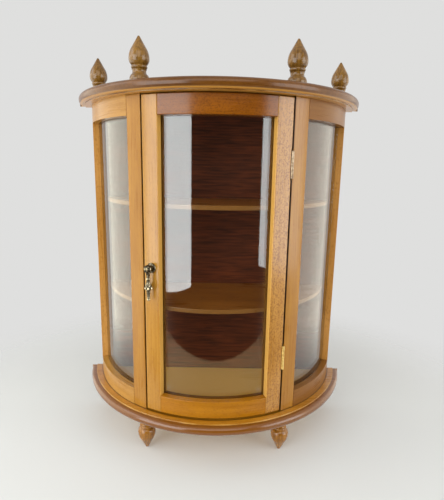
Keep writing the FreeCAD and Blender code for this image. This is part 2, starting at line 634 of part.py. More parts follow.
def glazing(prefix, level, azimuth, half, inner, low, high):
    """Bent glass in its bed, held by an upright strip at each side and a bowed one above and below."""
    glass_half = f"({half} + {RABBET_ARC} - {PLAY_ARC})"
    bottom = f"({low} + Sizes.glass_play)"
    height = f"({high} - {low} - 2 * Sizes.glass_play)"
    glass = new_body(f"{prefix}_glass", level, azimuth)
    pane = sector(glass, f"{prefix}_glass_plan", GLASS_IN, GLASS_OUT, f"-{glass_half}", glass_half, bottom)
    pad(glass, pane, height)
    made = [keep(glass)]
    spans = {"front": (f"-{glass_half}", f"-{half}"), "back": (half, glass_half)}
    if prefix == "door":
        spans = {"latch": spans["front"], "hinge": spans["back"]}
    for place, span in spans.items():
        strip = new_body(f"{prefix}_strip_{place}", level, azimuth)
        pad(strip, sector(strip, f"{prefix}_{place}_plan", inner, STRIP_OUT, *span, bottom), height)
        made.append(keep(strip))
    strip_height = "(Sizes.rabbet_width - Sizes.glass_play)"
    tops = {"bottom": bottom, "top": f"({high} - Sizes.rabbet_width)"}
    bow_half = f"({half} - {PLAY_ARC})"
    for place, foot in tops.items():
        strip = new_body(f"{prefix}_strip_{place}", level, azimuth)
        plan = sector(strip, f"{prefix}_{place}_plan", inner, STRIP_OUT, f"-{bow_half}", bow_half, foot)
        pad(strip, plan, strip_height)
        made.append(keep(strip))
    return made


def side_walls():
    """Rails, glass and strips of the right side, and their mirror images on the left."""
    top_level = f"({FRAME_TOP} - Sizes.rail_height)"
    made = [side_rail("right_bottom_rail", BASE_TOP, SIDE_LOW, f"(Sizes.rail_height + {CUT_PAST})", False),
            side_rail("right_top_rail", top_level, f"-{CUT_PAST}", size("rabbet_width"), True)]
    made += glazing("right", BASE_TOP, SIDE_MID, SIDE_HALF, FRAME_IN, SIDE_LOW, SIDE_HIGH)
    for piece in made:
        mirrored(piece, piece.Label.replace("right", "left"))


def brad_spots(top):
    """Brads of one shelf, across the panel and up it; Y points to the right of the cabinet."""
    level = f"({top} - Sizes.shelf_thickness / 2)"
    return [("-Sizes.brad_spacing", level), ("0", level), (size("brad_spacing"), level)]


def back_panel():
    """Plywood back between the two stiles."""
    body = new_body("back_panel", BASE_TOP)
    height = "(Sizes.frame_height - Sizes.panel_play)"
    face = rectangle(body, "panel_face", "YZ_Plane", (f"-{PANEL_HALF}", size("panel_play")),
                     (PANEL_HALF, height), PANEL_BACK)
    pad(body, face, size("panel_thickness"))
    for shelf, top in SHELF_TOPS.items():
        holes = circles(body, f"panel_{shelf}", "YZ_Plane", brad_spots(top), size("brad_radius"), PANEL_FRONT)
        pocket(body, holes, size("panel_thickness"))
    keep(body)


def shelf(label, top):
    """Half-round shelf with a tongue in each front post."""
    body = new_body(label, BASE_TOP)
    bottom = f"({top} - Sizes.shelf_thickness)"
    pad(body, half_round(body, f"{label}_plan", SHELF_R, PANEL_FRONT, bottom), size("shelf_thickness"))
    for place, sign in (("left", "-"), ("right", "")):
        span = sorted([f"{sign}({GAP_AT} + {TONGUE_AT} - {TONGUE_HALF})",
                       f"{sign}({GAP_AT} + {TONGUE_AT} + {TONGUE_HALF})"], key=value)
        tongue = sector(body, f"{label}_{place}", f"({SHELF_R} - {CUT_PAST})",
                        f"({FRAME_IN} + Sizes.tongue_depth)", *span, bottom)
        pad(body, tongue, size("shelf_thickness"))
    holes = circles(body, f"{label}_brads", "YZ_Plane", brad_spots(top), size("brad_radius"), PANEL_FRONT)
    pocket(body, holes, "Sizes.brad_length - Sizes.panel_thickness", along=True)
    keep(body)


def group(label, pieces):
    """Equal small pieces that share one node."""
    item = doc.addObject("Part::Compound", label)
    item.Links = pieces
    return keep(item)


def shelf_brads():
    """Brads from the back of the panel into both shelves."""
    brads = []
    for shelf_name, top in SHELF_TOPS.items():
        body_spots = brad_spots(top)
        for index, (aside, level) in enumerate(body_spots):
            brad = doc.addObject("Part::Cylinder", f"{shelf_name}_brad_{index}")
            brad.Placement = FreeCAD.Placement(Vector(), FreeCAD.Rotation(Vector(1, 0, 0), 90))
            brad.setExpression("Radius", size("brad_radius"))
            brad.setExpression("Height", size("brad_length"))
            brad.setExpression("Placement.Base.x", aside)
            brad.setExpression("Placement.Base.y", f"{PLAN_Y} - {PANEL_BACK}")
            brad.setExpression("Placement.Base.z", f"{BASE_TOP} + {level}")
            brads.append(brad)
    group("shelf_brads", brads)


def latch_stile():
    """Left stile of the door, bored for the pull and the strike. Its X axis is the middle of its face."""
    body = new_body("door_stile_latch", DOOR_BOTTOM, f"-{LATCH_MID}")
    half = f"({STILE_ARC} / 2)"
    pad(body, sector(body, "latch_plan", DOOR_IN, FRAME_R, f"-{half}", half), DOOR_HEIGHT)
    reach = value(FRAME_R)
    ease(body, size("edge_ease"), lambda edge: is_upright(edge) and on_radius(edge, reach))
    rabbet(body, "latch_bed", DOOR_IN, f"({half} - {RABBET_ARC})", f"({half} + {RABBET_ARC})",
           DOOR_LOW, DOOR_HIGH)
    knob_level = f"({KNOB_LEVEL} - {DOOR_BOTTOM})"
    stud = circles(body, "latch_stud", "YZ_Plane", [("0", knob_level)], "Sizes.stud_radius + Sizes.stud_play",
                   f"({FRAME_R} + {CUT_PAST})")
    pocket(body, stud, f"Sizes.door_thickness + 2 * {CUT_PAST}")
    strike = circles(body, "latch_strike", "YZ_Plane", [(STRIKE_Y, f"({CATCH_LEVEL} - {DOOR_BOTTOM})")],
                     size("strike_radius"), f"({DOOR_IN} - {CUT_PAST})")
    pocket(body, strike, f"{CUT_PAST} + Sizes.strike_sink + Sizes.strike_thickness", along=True)
    keep(body)


def hinge_stile():
    """Right stile of the door, mortised for the hinges. Its X axis lies in the middle of the door gap."""
    body = new_body("door_stile_hinge", DOOR_BOTTOM, GAP_AT)
    inner_face = f"({HALF_GAP} + {STILE_ARC})"
    pad(body, sector(body, "hinge_plan", DOOR_IN, FRAME_R, f"-{inner_face}", f"-{HALF_GAP}"), DOOR_HEIGHT)
    reach = value(FRAME_R)
    ease(body, size("edge_ease"), lambda edge: is_upright(edge) and on_radius(edge, reach))
    rabbet(body, "hinge_bed", DOOR_IN, f"-({inner_face} + {RABBET_ARC})", f"-({inner_face} - {RABBET_ARC})",
           DOOR_LOW, DOOR_HIGH)
    hinge_cuts(body, "hinge_stile", size("door_bottom_gap"), False)
    keep(body)


def door_frame():
    """Both stiles and both rails of the door, its glass and its strips."""
    latch_stile()
    hinge_stile()
    top_level = f"({DOOR_BOTTOM} + {DOOR_HEIGHT} - Sizes.door_rail_height)"
    door_rail("door_bottom_rail", DOOR_BOTTOM, DOOR_LOW, f"(Sizes.door_rail_height + {CUT_PAST})")
    door_rail("door_top_rail", top_level, f"-{CUT_PAST}", size("rabbet_width"))
    glazing("door", DOOR_BOTTOM, "0 deg", SIGHT_AT, DOOR_IN, DOOR_LOW, DOOR_HIGH)


def leaf(label, middle, on_post):
    """Hinge leaf with its share of the knuckles: the outer ones and the middle one belong to the post."""
    body = new_body(label, f"({BASE_TOP} + {middle} - Sizes.hinge_length / 2)", GAP_AT)
    inner = f"({HINGE_AXIS_R} - Sizes.leaf_width)"
    low, high = (LEAF_FACE, LEAF_BACK) if on_post else (f"-{LEAF_BACK}", f"-{LEAF_FACE}")
    plate = rectangle(body, f"{label}_plate", "XY_Plane", (inner, low), (HINGE_AXIS_R, high))
    pad(body, plate, size("hinge_length"))
    own = range(0 if on_post else 1, KNUCKLE_COUNT, 2)
    others = range(1 if on_post else 0, KNUCKLE_COUNT, 2)
    spot = [(HINGE_AXIS_R, "0")]
    for index in others:
        notch = circles(body, f"{label}_notch_{index}", "XY_Plane", spot,
                        "Sizes.knuckle_radius + Sizes.barrel_play", f"({index} * {KNUCKLE_PITCH})")
        pocket(body, notch, KNUCKLE_PITCH, along=True)
    for index in own:
        first = "0" if index == 0 else size("knuckle_play")
        last = "0" if index == KNUCKLE_COUNT - 1 else size("knuckle_play")
        knuckle = circles(body, f"{label}_knuckle_{index}", "XY_Plane", spot, size("knuckle_radius"),
                          f"({index} * {KNUCKLE_PITCH} + {first})")
        pad(body, knuckle, f"({KNUCKLE_PITCH} - {first} - {last})")
    play = "0" if on_post else size("hinge_pin_play")
    bore = circles(body, f"{label}_bore", "XY_Plane", spot, f"Sizes.hinge_pin_radius + {play}")
    pocket(body, bore, size("hinge_length"), along=True)
    holes = circles(body, f"{label}_holes", "XZ_Plane",
                    [(SCREW_X, level) for level in screw_levels("(Sizes.hinge_length / 2)")],
                    "Sizes.screw_head_radius + Sizes.screw_head_play")
    pocket(body, holes, LEAF_BACK, along=not on_post)
    keep(body)


def screw(label, level, on_post):
    """Hinge screw with its head let into the leaf; its axis runs across the door gap."""
    body = new_body(label, level, GAP_AT, SCREW_X)
    head = size("screw_head_radius")
    sign = 1 if on_post else -1
    body.Placement.Rotation = body.Placement.Rotation * FreeCAD.Rotation(Vector(1, 0, 0), -90 * sign)
    corners = [("0", LEAF_FACE), (head, LEAF_FACE), (size("screw_radius"), LEAF_BACK),
               (size("screw_radius"), f"({LEAF_BACK} + Sizes.screw_length)"),
               ("0", f"({LEAF_BACK} + Sizes.screw_length)")]
    revolve(body, outline(body, f"{label}_profile", "XZ_Plane", corners))
    return body


def hinges():
    """Two butt hinges, each with two leaves and a pin, and the screws of post and stile."""
    screws = {"frame": [], "door": []}
    for place, middle in HINGE_LEVELS.items():
        for owner, on_post in (("frame", True), ("door", False)):
            leaf(f"{place}_hinge_{owner}_leaf", middle, on_post)
            for index, level in enumerate(screw_levels(f"({BASE_TOP} + {middle})")):
                screws[owner].append(screw(f"{place}_{owner}_screw_{index}", level, on_post))
        pin = doc.addObject("Part::Cylinder", f"{place}_hinge_pin")
        pin.setExpression("Radius", size("hinge_pin_radius"))
        pin.setExpression("Height", size("hinge_length"))
        pin.setExpression("Placement.Base.x", f"{HINGE_AXIS_R} * sin({GAP_AT})")
        pin.setExpression("Placement.Base.y", f"{PLAN_Y} - {HINGE_AXIS_R} * cos({GAP_AT})")
        pin.setExpression("Placement.Base.z", f"{BASE_TOP} + {middle} - Sizes.hinge_length / 2")
        keep(pin)
    for owner, pieces in screws.items():
        group(f"hinge_screws_{owner}", pieces)


PULL_LEVEL = f"({BASE_TOP} + Sizes.pull_height)"
KNOB_LEVEL = f"({PULL_LEVEL} + Sizes.knob_rise)"
PULL_AT = f"-{LATCH_MID}"
EYE_SLOT = "(Sizes.eye_thickness + 2 * Sizes.eye_play)"


def rosette():
    """Round back plate of the pull, flat on the stile, with a hole for the stud."""
    body = new_body("pull_rosette", KNOB_LEVEL, PULL_AT, FRAME_R)
    disc = circles(body, "rosette_disc", "YZ_Plane", [("0", "0")], size("rosette_radius"))
    pad(body, disc, size("rosette_thickness"))
    rim = value("Sizes.rosette_thickness")
    ease(body, size("rosette_ease"), lambda edge: is_arc(edge) and edge.CenterOfMass.x > rim / 2)
    hole = circles(body, "rosette_hole", "YZ_Plane", [("0", "0")], "Sizes.stud_radius + Sizes.stud_play",
                   size("rosette_thickness"))
    pocket(body, hole, size("rosette_thickness"))
    keep(body)


def knob():
    """Pear-shaped knob on an arm, with a stud through the stile and a slot for the drop's eye."""
    body = new_body("pull_knob", PULL_LEVEL, PULL_AT, PULL_AXIS_R)
    rise, widest = size("knob_rise"), size("knob_radius")
    top = f"({rise} + Sizes.knob_dome)"
    dome = round_radius(size("knob_dome"), widest)
    corners = [("0", "-Sizes.knob_drop"), (size("cheek_radius"), "-Sizes.knob_drop"),
               (widest, rise, dome, "out"), ("0", top)]
    revolve(body, outline(body, "knob_profile", "XZ_Plane", corners))
    back = "(Sizes.pull_reach - Sizes.rosette_thickness)"
    arm = circles(body, "knob_arm", "YZ_Plane", [("0", rise)], size("knob_post_radius"), f"-{back}")
    pad(body, arm, back)
    behind = "Sizes.nut_play + Sizes.nut_thickness + Sizes.stud_tail"
    length = f"(Sizes.rosette_thickness + Sizes.door_thickness + {behind})"
    stud = circles(body, "knob_stud", "YZ_Plane", [("0", rise)], size("stud_radius"), f"-({back} + {length})")
    pad(body, stud, length)
    slot = rectangle(body, "knob_slot", "XZ_Plane", (f"-{widest}", f"-(Sizes.knob_drop + {CUT_PAST})"),
                     (widest, "(Sizes.eye_radius + Sizes.eye_top_play)"))
    pocket(body, slot, EYE_SLOT, midplane=True)
    bore = circles(body, "knob_bore", "XZ_Plane", [("0", "0")], size("drop_pin_radius"))
    pocket(body, bore, f"2 * {widest}", midplane=True)
    keep(body)


def drop_pin():
    """Pin across the cheeks of the knob."""
    body = new_body("pull_pin", PULL_LEVEL, PULL_AT, PULL_AXIS_R)
    section = circles(body, "drop_pin_section", "XZ_Plane", [("0", "0")], size("drop_pin_radius"))
    pad(body, section, size("drop_pin_length"), midplane=True)
    keep(body)


def drop():
    """Bell-shaped drop with a collar, a stem and a bead, hanging from its eye."""
    body = new_body("pull_drop", PULL_LEVEL, PULL_AT, PULL_AXIS_R)
    levels = [f"-({size('eye_drop')})"]
    for step in ("collar_height", "waist_height", "bell_height", "bell_lip", "stem_height",
                 "tip_groove_height"):
        levels.append(f"({levels[-1]} - Sizes.{step})")
    bead = size("tip_bead_radius")
    groove = size("tip_groove_radius")
    bead_end = f"({levels[6]} - {bead} - sqrt({bead}^2 - {groove}^2))"
    bell_half = "(sqrt(Sizes.bell_height^2 + (Sizes.bell_radius - Sizes.waist_radius)^2) / 2)"
    flare = round_radius(bell_half, size("bell_flare"))
    corners = [("0", bead_end, bead, "out"), (groove, levels[6]), (groove, levels[5]),
               (size("stem_end_radius"), levels[5]), (size("stem_radius"), levels[4]),
               (size("bell_radius"), levels[3], flare, "in"), (size("waist_radius"), levels[2]),
               (size("collar_radius"), levels[1]), (size("collar_radius"), levels[0]), ("0", levels[0])]
    revolve(body, outline(body, "drop_profile", "XZ_Plane", corners))
    eye = size("eye_radius")
    root = f"({levels[0]} - Sizes.collar_height / 2)"
    tab = rectangle(body, "drop_tab", "XZ_Plane", (f"-{eye}", root), (eye, "0"))
    pad(body, tab, size("eye_thickness"), midplane=True)
    pad(body, circles(body, "drop_eye", "XZ_Plane", [("0", "0")], eye), size("eye_thickness"), midplane=True)
    bore = circles(body, "drop_bore", "XZ_Plane", [("0", "0")], "Sizes.drop_pin_radius + Sizes.drop_pin_play")
    pocket(body, bore, f"2 * {size('eye_thickness')}", midplane=True)
    keep(body)


def nut():
    """Hexagon nut on the stud, behind the stile."""
    body = new_body("pull_nut", KNOB_LEVEL, PULL_AT, f"({DOOR_IN} - Sizes.nut_play - Sizes.nut_thickness)")
    corner = "(Sizes.nut_flats / sqrt(3))"
    turns = [f"({60 * index} deg)" for index in range(6)]
    spots = [(f"({corner} * cos{turn})", f"({corner} * sin{turn})") for turn in turns]
    pad(body, outline(body, "nut_section", "YZ_Plane", spots), size("nut_thickness"))
    hole = circles(body, "nut_hole", "YZ_Plane", [("0", "0")], size("stud_radius"))
    pocket(body, hole, size("nut_thickness"), along=True)
    keep(body)


CATCH_TOP = "(Sizes.upper_shelf_top - Sizes.shelf_thickness - Sizes.catch_below_shelf)"
CATCH_LEVEL = f"({BASE_TOP} + {CATCH_TOP} - Sizes.catch_block_height / 2)"
STRIKE_Y = "(Sizes.catch_overlap / 2 - Sizes.stile_width / 2)"
MAGNET_FRONT = f"({FRAME_IN} - Sizes.magnet_sink)"


def catch():
    """Stop block inside the latch post with a magnet, and the strike in the stile."""
    block = new_body("catch_block", f"({CATCH_LEVEL} - Sizes.catch_block_height / 2)", PULL_AT)
    far = f"({STILE_ARC} / 2 + 2 * {HALF_GAP} + {arc_angle('Sizes.catch_block_seat', FRAME_IN)})"
    near = f"({STILE_ARC} / 2 - {arc_angle('Sizes.catch_overlap', FRAME_IN)})"
    plan = sector(block, "catch_plan", f"({FRAME_IN} - Sizes.catch_block_depth)", FRAME_IN,
                  f"-{far}", f"-{near}")
    pad(block, plan, size("catch_block_height"))
    level = "(Sizes.catch_block_height / 2)"
    bore = circles(block, "catch_bore", "YZ_Plane", [(STRIKE_Y, level)], size("magnet_radius"),
                   f"({FRAME_IN} + {CUT_PAST})")
    pocket(block, bore, f"{CUT_PAST} + Sizes.magnet_sink + Sizes.magnet_length")
    keep(block)
    magnet = new_body("catch_magnet", CATCH_LEVEL, PULL_AT)
    section = circles(magnet, "magnet_section", "YZ_Plane", [(STRIKE_Y, "0")], size("magnet_radius"),
                      f"({MAGNET_FRONT} - Sizes.magnet_length)")
    pad(magnet, section, size("magnet_length"))
    keep(magnet)
    strike = new_body("catch_strike", CATCH_LEVEL, PULL_AT)
    section = circles(strike, "strike_section", "YZ_Plane", [(STRIKE_Y, "0")], size("strike_radius"),
                      f"({DOOR_IN} + Sizes.strike_sink)")
    pad(strike, section, size("strike_thickness"))
    keep(strike)


def build():
    """Make every sub-part in the order in which the cabinet goes together."""
    board("base_board", TURNING_HEIGHT, False)
    board("top_board", FRAME_TOP, True)
    top = f"({FRAME_TOP} + Sizes.board_thickness)"
    for place, spot in axis_spots().items():
        turning(f"foot_{place}", spot, TURNING_HEIGHT, size("foot_tip_radius"), True)
        turning(f"finial_{place}", spot, top, size("finial_tip_radius"), False)
    post("post_left", -1)
    hinge_cuts(post("post_right", 1), "post_right", "0", True)
    back_stile()
    side_walls()
    back_panel()
    for label, top in SHELF_TOPS.items():
        shelf(label, top)
    shelf_brads()
    door_frame()
    hinges()
    rosette()
    knob()
    drop_pin()
    drop()
    nut()
    catch()
    settle()


def export():
    """Check every sub-part and write it under its own name."""
    os.makedirs("parts", exist_ok=True)
    for item in nodes:
        if item.Shape.isNull() or not item.Shape.isValid() or not item.Shape.Solids:
            raise RuntimeError(f"{item.Label} has no valid solid")
    for item in nodes:
        item.Shape.exportStep(f"parts/{item.Label}.step")
        print(f"{item.Label}: {len(item.Shape.Solids)} solid(s), {item.Shape.Volume:.1f} mm3")


build()
export()
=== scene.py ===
"""Half-round glazed display cabinet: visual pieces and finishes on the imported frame."""
import json
import logging
import math
from dataclasses import dataclass, field, replace
from enum import Enum
from typing import Callable, ClassVar, Iterable, Optional, Sequence, Union

import bmesh
import bpy
from bmesh.types import BMEdge, BMFace, BMVert
from mathutils import Matrix, Vector


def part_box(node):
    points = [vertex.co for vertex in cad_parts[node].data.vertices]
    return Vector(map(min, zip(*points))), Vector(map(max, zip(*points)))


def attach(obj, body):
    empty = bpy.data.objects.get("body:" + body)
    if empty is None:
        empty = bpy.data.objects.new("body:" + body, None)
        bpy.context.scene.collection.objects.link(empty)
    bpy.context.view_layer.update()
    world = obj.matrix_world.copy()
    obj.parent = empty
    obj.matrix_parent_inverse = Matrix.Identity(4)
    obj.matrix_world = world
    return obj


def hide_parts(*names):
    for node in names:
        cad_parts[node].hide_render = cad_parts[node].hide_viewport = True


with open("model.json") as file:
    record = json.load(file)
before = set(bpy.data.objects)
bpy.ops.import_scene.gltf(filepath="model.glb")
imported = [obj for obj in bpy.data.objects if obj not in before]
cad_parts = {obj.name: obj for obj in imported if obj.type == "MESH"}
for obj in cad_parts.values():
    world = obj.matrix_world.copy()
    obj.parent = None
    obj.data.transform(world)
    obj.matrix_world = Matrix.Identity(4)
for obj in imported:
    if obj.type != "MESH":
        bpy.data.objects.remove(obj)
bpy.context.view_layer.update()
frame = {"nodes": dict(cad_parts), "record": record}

MM = 0.001
WELD = 1e-7  # points nearer than this are one
TOUCH = 1e-6  # a point nearer than this lies on a face
CORE = 1 * MM  # radius that a half-round plate leaves open at the axis, behind its cut
QUARTER = math.pi / 2
log = logging.getLogger("cabinet")

Colour = tuple[float, float, float, float]
Value = Union["Wire", float, Sequence[float]]
Point = tuple[float, float]


def tint(red: int, green: int, blue: int) -> Colour:
    """Colour as the screen shows it, turned into light values.

    Args:
        red: Red from 0 to 255.
        green: Green from 0 to 255.
        blue: Blue from 0 to 255.

    Returns:
        Linear colour with full alpha.
    """
    knee, slope, shift, power = 0.04045, 12.92, 0.055, 2.4
    parts = [channel / 255 for channel in (red, green, blue)]
    light = [part / slope if part < knee else ((part + shift) / (1 + shift)) ** power for part in parts]
    return (light[0], light[1], light[2], 1.0)


def clamp(value: float) -> float:
    """Value held between 0 and 1."""
    return max(0.0, min(1.0, value))


@dataclass(frozen=True)
class Plan:
    """Layout that all bowed pieces share: one upright axis behind the back of the cabinet."""

    centre: float
    board_radius: float
    frame_radius: float
    back: float
    panel_front: float
    frame_thickness: float = 11 * MM
    door_thickness: float = 10.7 * MM
    face_lip: float = 6 * MM
    rabbet: float = 3 * MM
    play: float = 0.2 * MM
    glass_thickness: float = 2 * MM
    gap: float = 1.2 * MM
    post_width: float = 15.4 * MM
    stile_width: float = 15 * MM
    back_stile_depth: float = 14 * MM
    door_half_angle: float = math.radians(28.4)

    @classmethod
    def read(cls) -> "Plan":
        """Take centre, radii and depths from the boxes of the frame.

        Returns:
            The layout in metres.
        """
        low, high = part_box("base_board")
        centre = (high.x ** 2 + high.y ** 2 - low.y ** 2) / (2 * (high.y - low.y))
        return cls(centre=centre, board_radius=centre - low.y,
                   frame_radius=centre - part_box("door_top_rail")[0].y,
                   back=high.y, panel_front=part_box("back_panel")[0].y)

    @property
    def bed(self) -> float:
        """Radius of the bed that the glass lies in."""
        return self.frame_radius - self.face_lip

    @property
    def glass_out(self) -> float:
        """Outer radius of the bent glass."""
        return self.bed - self.play

    @property
    def strip_out(self) -> float:
        """Outer radius of the glazing strips."""
        return self.glass_out - self.glass_thickness - self.play

    @property
    def frame_in(self) -> float:
        """Inner radius of posts and side rails."""
        return self.frame_radius - self.frame_thickness

    @property
    def door_in(self) -> float:
        """Inner radius of the door."""
        return self.frame_radius - self.door_thickness

    @property
    def half_gap(self) -> float:
        """Angle of half a door gap."""
        return self.gap / 2 / self.frame_radius

    @property
    def rabbet_arc(self) -> float:
        """Angle of the wood that overlaps a glass."""
        return self.rabbet / self.bed

    @property
    def play_arc(self) -> float:
        """Angle of the room beside a glass."""
        return self.play / self.bed

    @property
    def sight(self) -> float:
        """Azimuth at which the door's glass starts to show."""
        return self.door_half_angle - self.half_gap - self.stile_width / self.frame_radius

    @property
    def side_start(self) -> float:
        """Azimuth of the side of a post that faces the side glass."""
        return self.door_half_angle + self.half_gap + self.post_width / self.frame_radius

    @property
    def side_end(self) -> float:
        """Azimuth of the front side of a back stile."""
        back_offset = self.centre - self.back
        return math.acos((back_offset + self.back_stile_depth) / self.frame_radius)

    @property
    def axis(self) -> Vector:
        """A point on the upright axis."""
        return Vector((0, self.centre, 0))

    def point(self, radius: float, azimuth: float, level: float) -> Vector:
        """Place a point by radius, azimuth from the front (positive to the right) and level."""
        return Vector((radius * math.sin(azimuth), self.centre - radius * math.cos(azimuth), level))

    def radius_of(self, spot: Vector) -> float:
        """Distance of a point from the axis."""
        return math.hypot(spot.x, spot.y - self.centre)

    def azimuth_of(self, spot: Vector) -> float:
        """Azimuth of a point, from the front and positive to the right."""
        return math.atan2(spot.x, self.centre - spot.y)


PLAN = Plan.read()


def arithmetic(operation: str, swapped: bool = False) -> Callable[["Wire", Value], "Wire"]:
    """Method that adds one Math node for an arithmetic sign.

    Args:
        operation: Name of the operation.
        swapped: True where the wire stands behind the sign.

    Returns:
        The method.
    """
    def apply(wire: "Wire", other: Value) -> "Wire":
        """Result of the sign on a wire and another value."""
        return wire.math(operation, *((other, wire) if swapped else (wire, other)))
    return apply


class Wire:
    """A value socket in a node tree; arithmetic on it adds Math nodes."""

    def __init__(self, bench: "Bench", socket: bpy.types.NodeSocket) -> None:
        """Keep the socket and the bench that adds nodes to its tree."""
        self.bench = bench
        self.socket = socket

    def math(self, operation: str, *values: Value) -> "Wire":
        """Add one Math node with numbers or wires as its inputs in order."""
        return self.bench.node("ShaderNodeMath", {"operation": operation}, dict(enumerate(values)))

    __add__ = arithmetic("ADD")
    __radd__ = arithmetic("ADD", swapped=True)
    __sub__ = arithmetic("SUBTRACT")
    __rsub__ = arithmetic("SUBTRACT", swapped=True)
    __mul__ = arithmetic("MULTIPLY")
    __rmul__ = arithmetic("MULTIPLY", swapped=True)
    __truediv__ = arithmetic("DIVIDE")
    __rtruediv__ = arithmetic("DIVIDE", swapped=True)
    __pow__ = arithmetic("POWER")
    __rpow__ = arithmetic("POWER", swapped=True)

    def __neg__(self) -> "Wire":
        """Value with the other sign."""
        return self * -1.0

    def __abs__(self) -> "Wire":
        """Value without its sign."""
        return self.math("ABSOLUTE", self)

    def above(self, low: float, high: float) -> "Wire":
        """Soft step from 0 at low to 1 at high, or falling where high is the smaller."""
        return self.bench.node("ShaderNodeMapRange", {"interpolation_type": "SMOOTHSTEP"},
                               {0: self, 1: low, 2: high, 3: 0.0, 4: 1.0})


class Bench:
    """Adds the nodes of one material or of the world."""

    def __init__(self, tree: bpy.types.NodeTree) -> None:
        """Start from an empty tree."""
        self.tree = tree
        tree.nodes.clear()

    def node(self, kind: str, settings: Optional[dict] = None, inputs: Optional[dict] = None,
             output: Union[int, str] = 0) -> Wire:
        """Add a node.

        Args:
            kind: Type of the node.
            settings: Its options, which are set first.
            inputs: Values or wires for its sockets, by name or place.
            output: Socket that is handed back.

        Returns:
            The chosen output.
        """
        item = self.tree.nodes.new(kind)
        for key, setting in (settings or {}).items():
            setattr(item, key, setting)
        for key, given in (inputs or {}).items():
            if isinstance(given, Wire):
                self.tree.links.new(given.socket, item.inputs[key])
            else:
                item.inputs[key].default_value = given
        return Wire(self, item.outputs[output])

    def mix(self, share: Value, first: Value, second: Value) -> Wire:
        """Mix two colours by the share of the second one."""
        return self.node("ShaderNodeMix", {"data_type": "RGBA"}, {0: share, 6: first, 7: second}, 2)

    def vector(self, first: Value, second: Value, third: Value) -> Wire:
        """Vector from three values."""
        return self.node("ShaderNodeCombineXYZ", None, {0: first, 1: second, 2: third})

    def parts(self, vector: Wire) -> tuple[Wire, Wire, Wire]:
        """Split a vector.

        Args:
            vector: The vector.

        Returns:
            Its three values.
        """
        split = self.node("ShaderNodeSeparateXYZ", None, {0: vector})
        outputs = split.socket.node.outputs
        return Wire(self, outputs[0]), Wire(self, outputs[1]), Wire(self, outputs[2])

    def noise(self, where: Wire, scale: float = 1.0, detail: float = 2.0, twist: float = 0.0) -> Wire:
        """Cloudy value from about 0.3 to 0.7, with lumps per unit, finer layers and distortion."""
        return self.node("ShaderNodeTexNoise", None,
                         {"Vector": where, "Scale": scale, "Detail": detail, "Distortion": twist})

    def place(self, shift: Sequence[float] = (0, 0, 0)) -> Wire:
        """Coordinates on the piece, moved by a Mapping node."""
        where = self.node("ShaderNodeTexCoord", None, None, "Object")
        return self.node("ShaderNodeMapping", None, {"Vector": where, "Location": shift})

    def about_axis(self) -> tuple[Wire, Wire, Wire]:
        """Coordinates from the plan's axis: sideways, towards the back and up."""
        return self.parts(self.place((0, -PLAN.centre, 0)))

    def bump(self, height: Wire, depth: float, strength: float) -> Wire:
        """Relief for a Normal socket, from a height of 0 to 1 and its depth in metres."""
        return self.node("ShaderNodeBump", None, {"Height": height, "Distance": depth, "Strength": strength})

    def close(self, shader: Wire, kind: str = "ShaderNodeOutputMaterial") -> None:
        """Add the output node and lead a shader to it."""
        sink = self.tree.nodes.new(kind)
        self.tree.links.new(shader.socket, sink.inputs["Surface"])


class Grain(Enum):
    """Way the grain of a wooden piece runs."""

    UPRIGHT = "upright on a bowed piece"
    BOWED = "along the curve"
    ACROSS = "from side to side"
    TURNED = "upright in a turning"


class Finish:
    """A finish that makes its material once."""

    name: str
    made: ClassVar[dict[str, bpy.types.Material]] = {}

    def material(self) -> bpy.types.Material:
        """Material of this finish.

        Returns:
            The material, made at the first call.
        """
        if self.name not in self.made:
            material = bpy.data.materials.new(self.name)
            material.use_nodes = True
            self.made[self.name] = material
            self.dress(Bench(material.node_tree))
        return self.made[self.name]

    def dress(self, bench: Bench) -> None:
        """Add the nodes of the finish."""
        raise NotImplementedError


@dataclass(frozen=True)
class Pattern:
    """Cloudy pattern that follows the grain, with its lumps per metre along and across it."""

    along: float
    across: float
    detail: float
    twist: float = 0.0

    def lay(self, bench: Bench, axes: tuple[Wire, Wire, Wire]) -> Wire:
        """Lay the pattern.

        Args:
            bench: Where the nodes go.
            axes: Coordinates along the grain, across it and into the wood.

        Returns:
            The value, from about 0.3 to 0.7.
        """
        along, side, depth = axes
        where = bench.vector(along * self.along, side * self.across, depth * self.across)
        return bench.noise(where, detail=self.detail, twist=self.twist)


@dataclass(frozen=True)
class Rim:
    """Another tone along a curved edge, in patches or all along; on the boards it lays painted shade, painted
    light and worn lines that are partly painted highlights.
    """

    radius: float
    reach: float
    colour: Colour
    share: float
    patchy: bool = True
    softness: float = 0.6
    patch_scale: float = 55
    patch_detail: float = 3
    patch_limits: Point = (0.3, 0.66)

    def lay(self, bench: Bench, base: Wire) -> Wire:
        """Lay the tone along the edge.

        Args:
            bench: Where the nodes go.
            base: Colour of the wood.

        Returns:
            Colour with the edge.
        """
        x, y, _ = bench.about_axis()
        off = abs((x * x + y * y) ** 0.5 - self.radius)
        near = off.above(self.reach, self.reach * (1 - self.softness))
        if self.patchy:
            patches = bench.noise(bench.place(), self.patch_scale, self.patch_detail)
            near = near * patches.above(*self.patch_limits)
        return bench.mix(near * self.share, base, self.colour)


@dataclass(frozen=True)
class Side:
    """Upright side of a bowed piece painted another tone by its azimuth: painted shade in the door gap,
    painted light on the sides beside the door glass.
    """

    azimuth: float
    reach: float
    colour: Colour
    share: float
    solid: float = 0.8

    def lay(self, bench: Bench, base: Wire) -> Wire:
        """Lay the tone on the side.

        Args:
            bench: Where the nodes go.
            base: Colour of the wood.

        Returns:
            Colour with the side.
        """
        x, y, _ = bench.about_axis()
        off = abs(x.math("ARCTAN2", x, -y) - self.azimuth) * PLAN.frame_radius
        return bench.mix(off.above(self.reach, self.reach * self.solid) * self.share, base, self.colour)


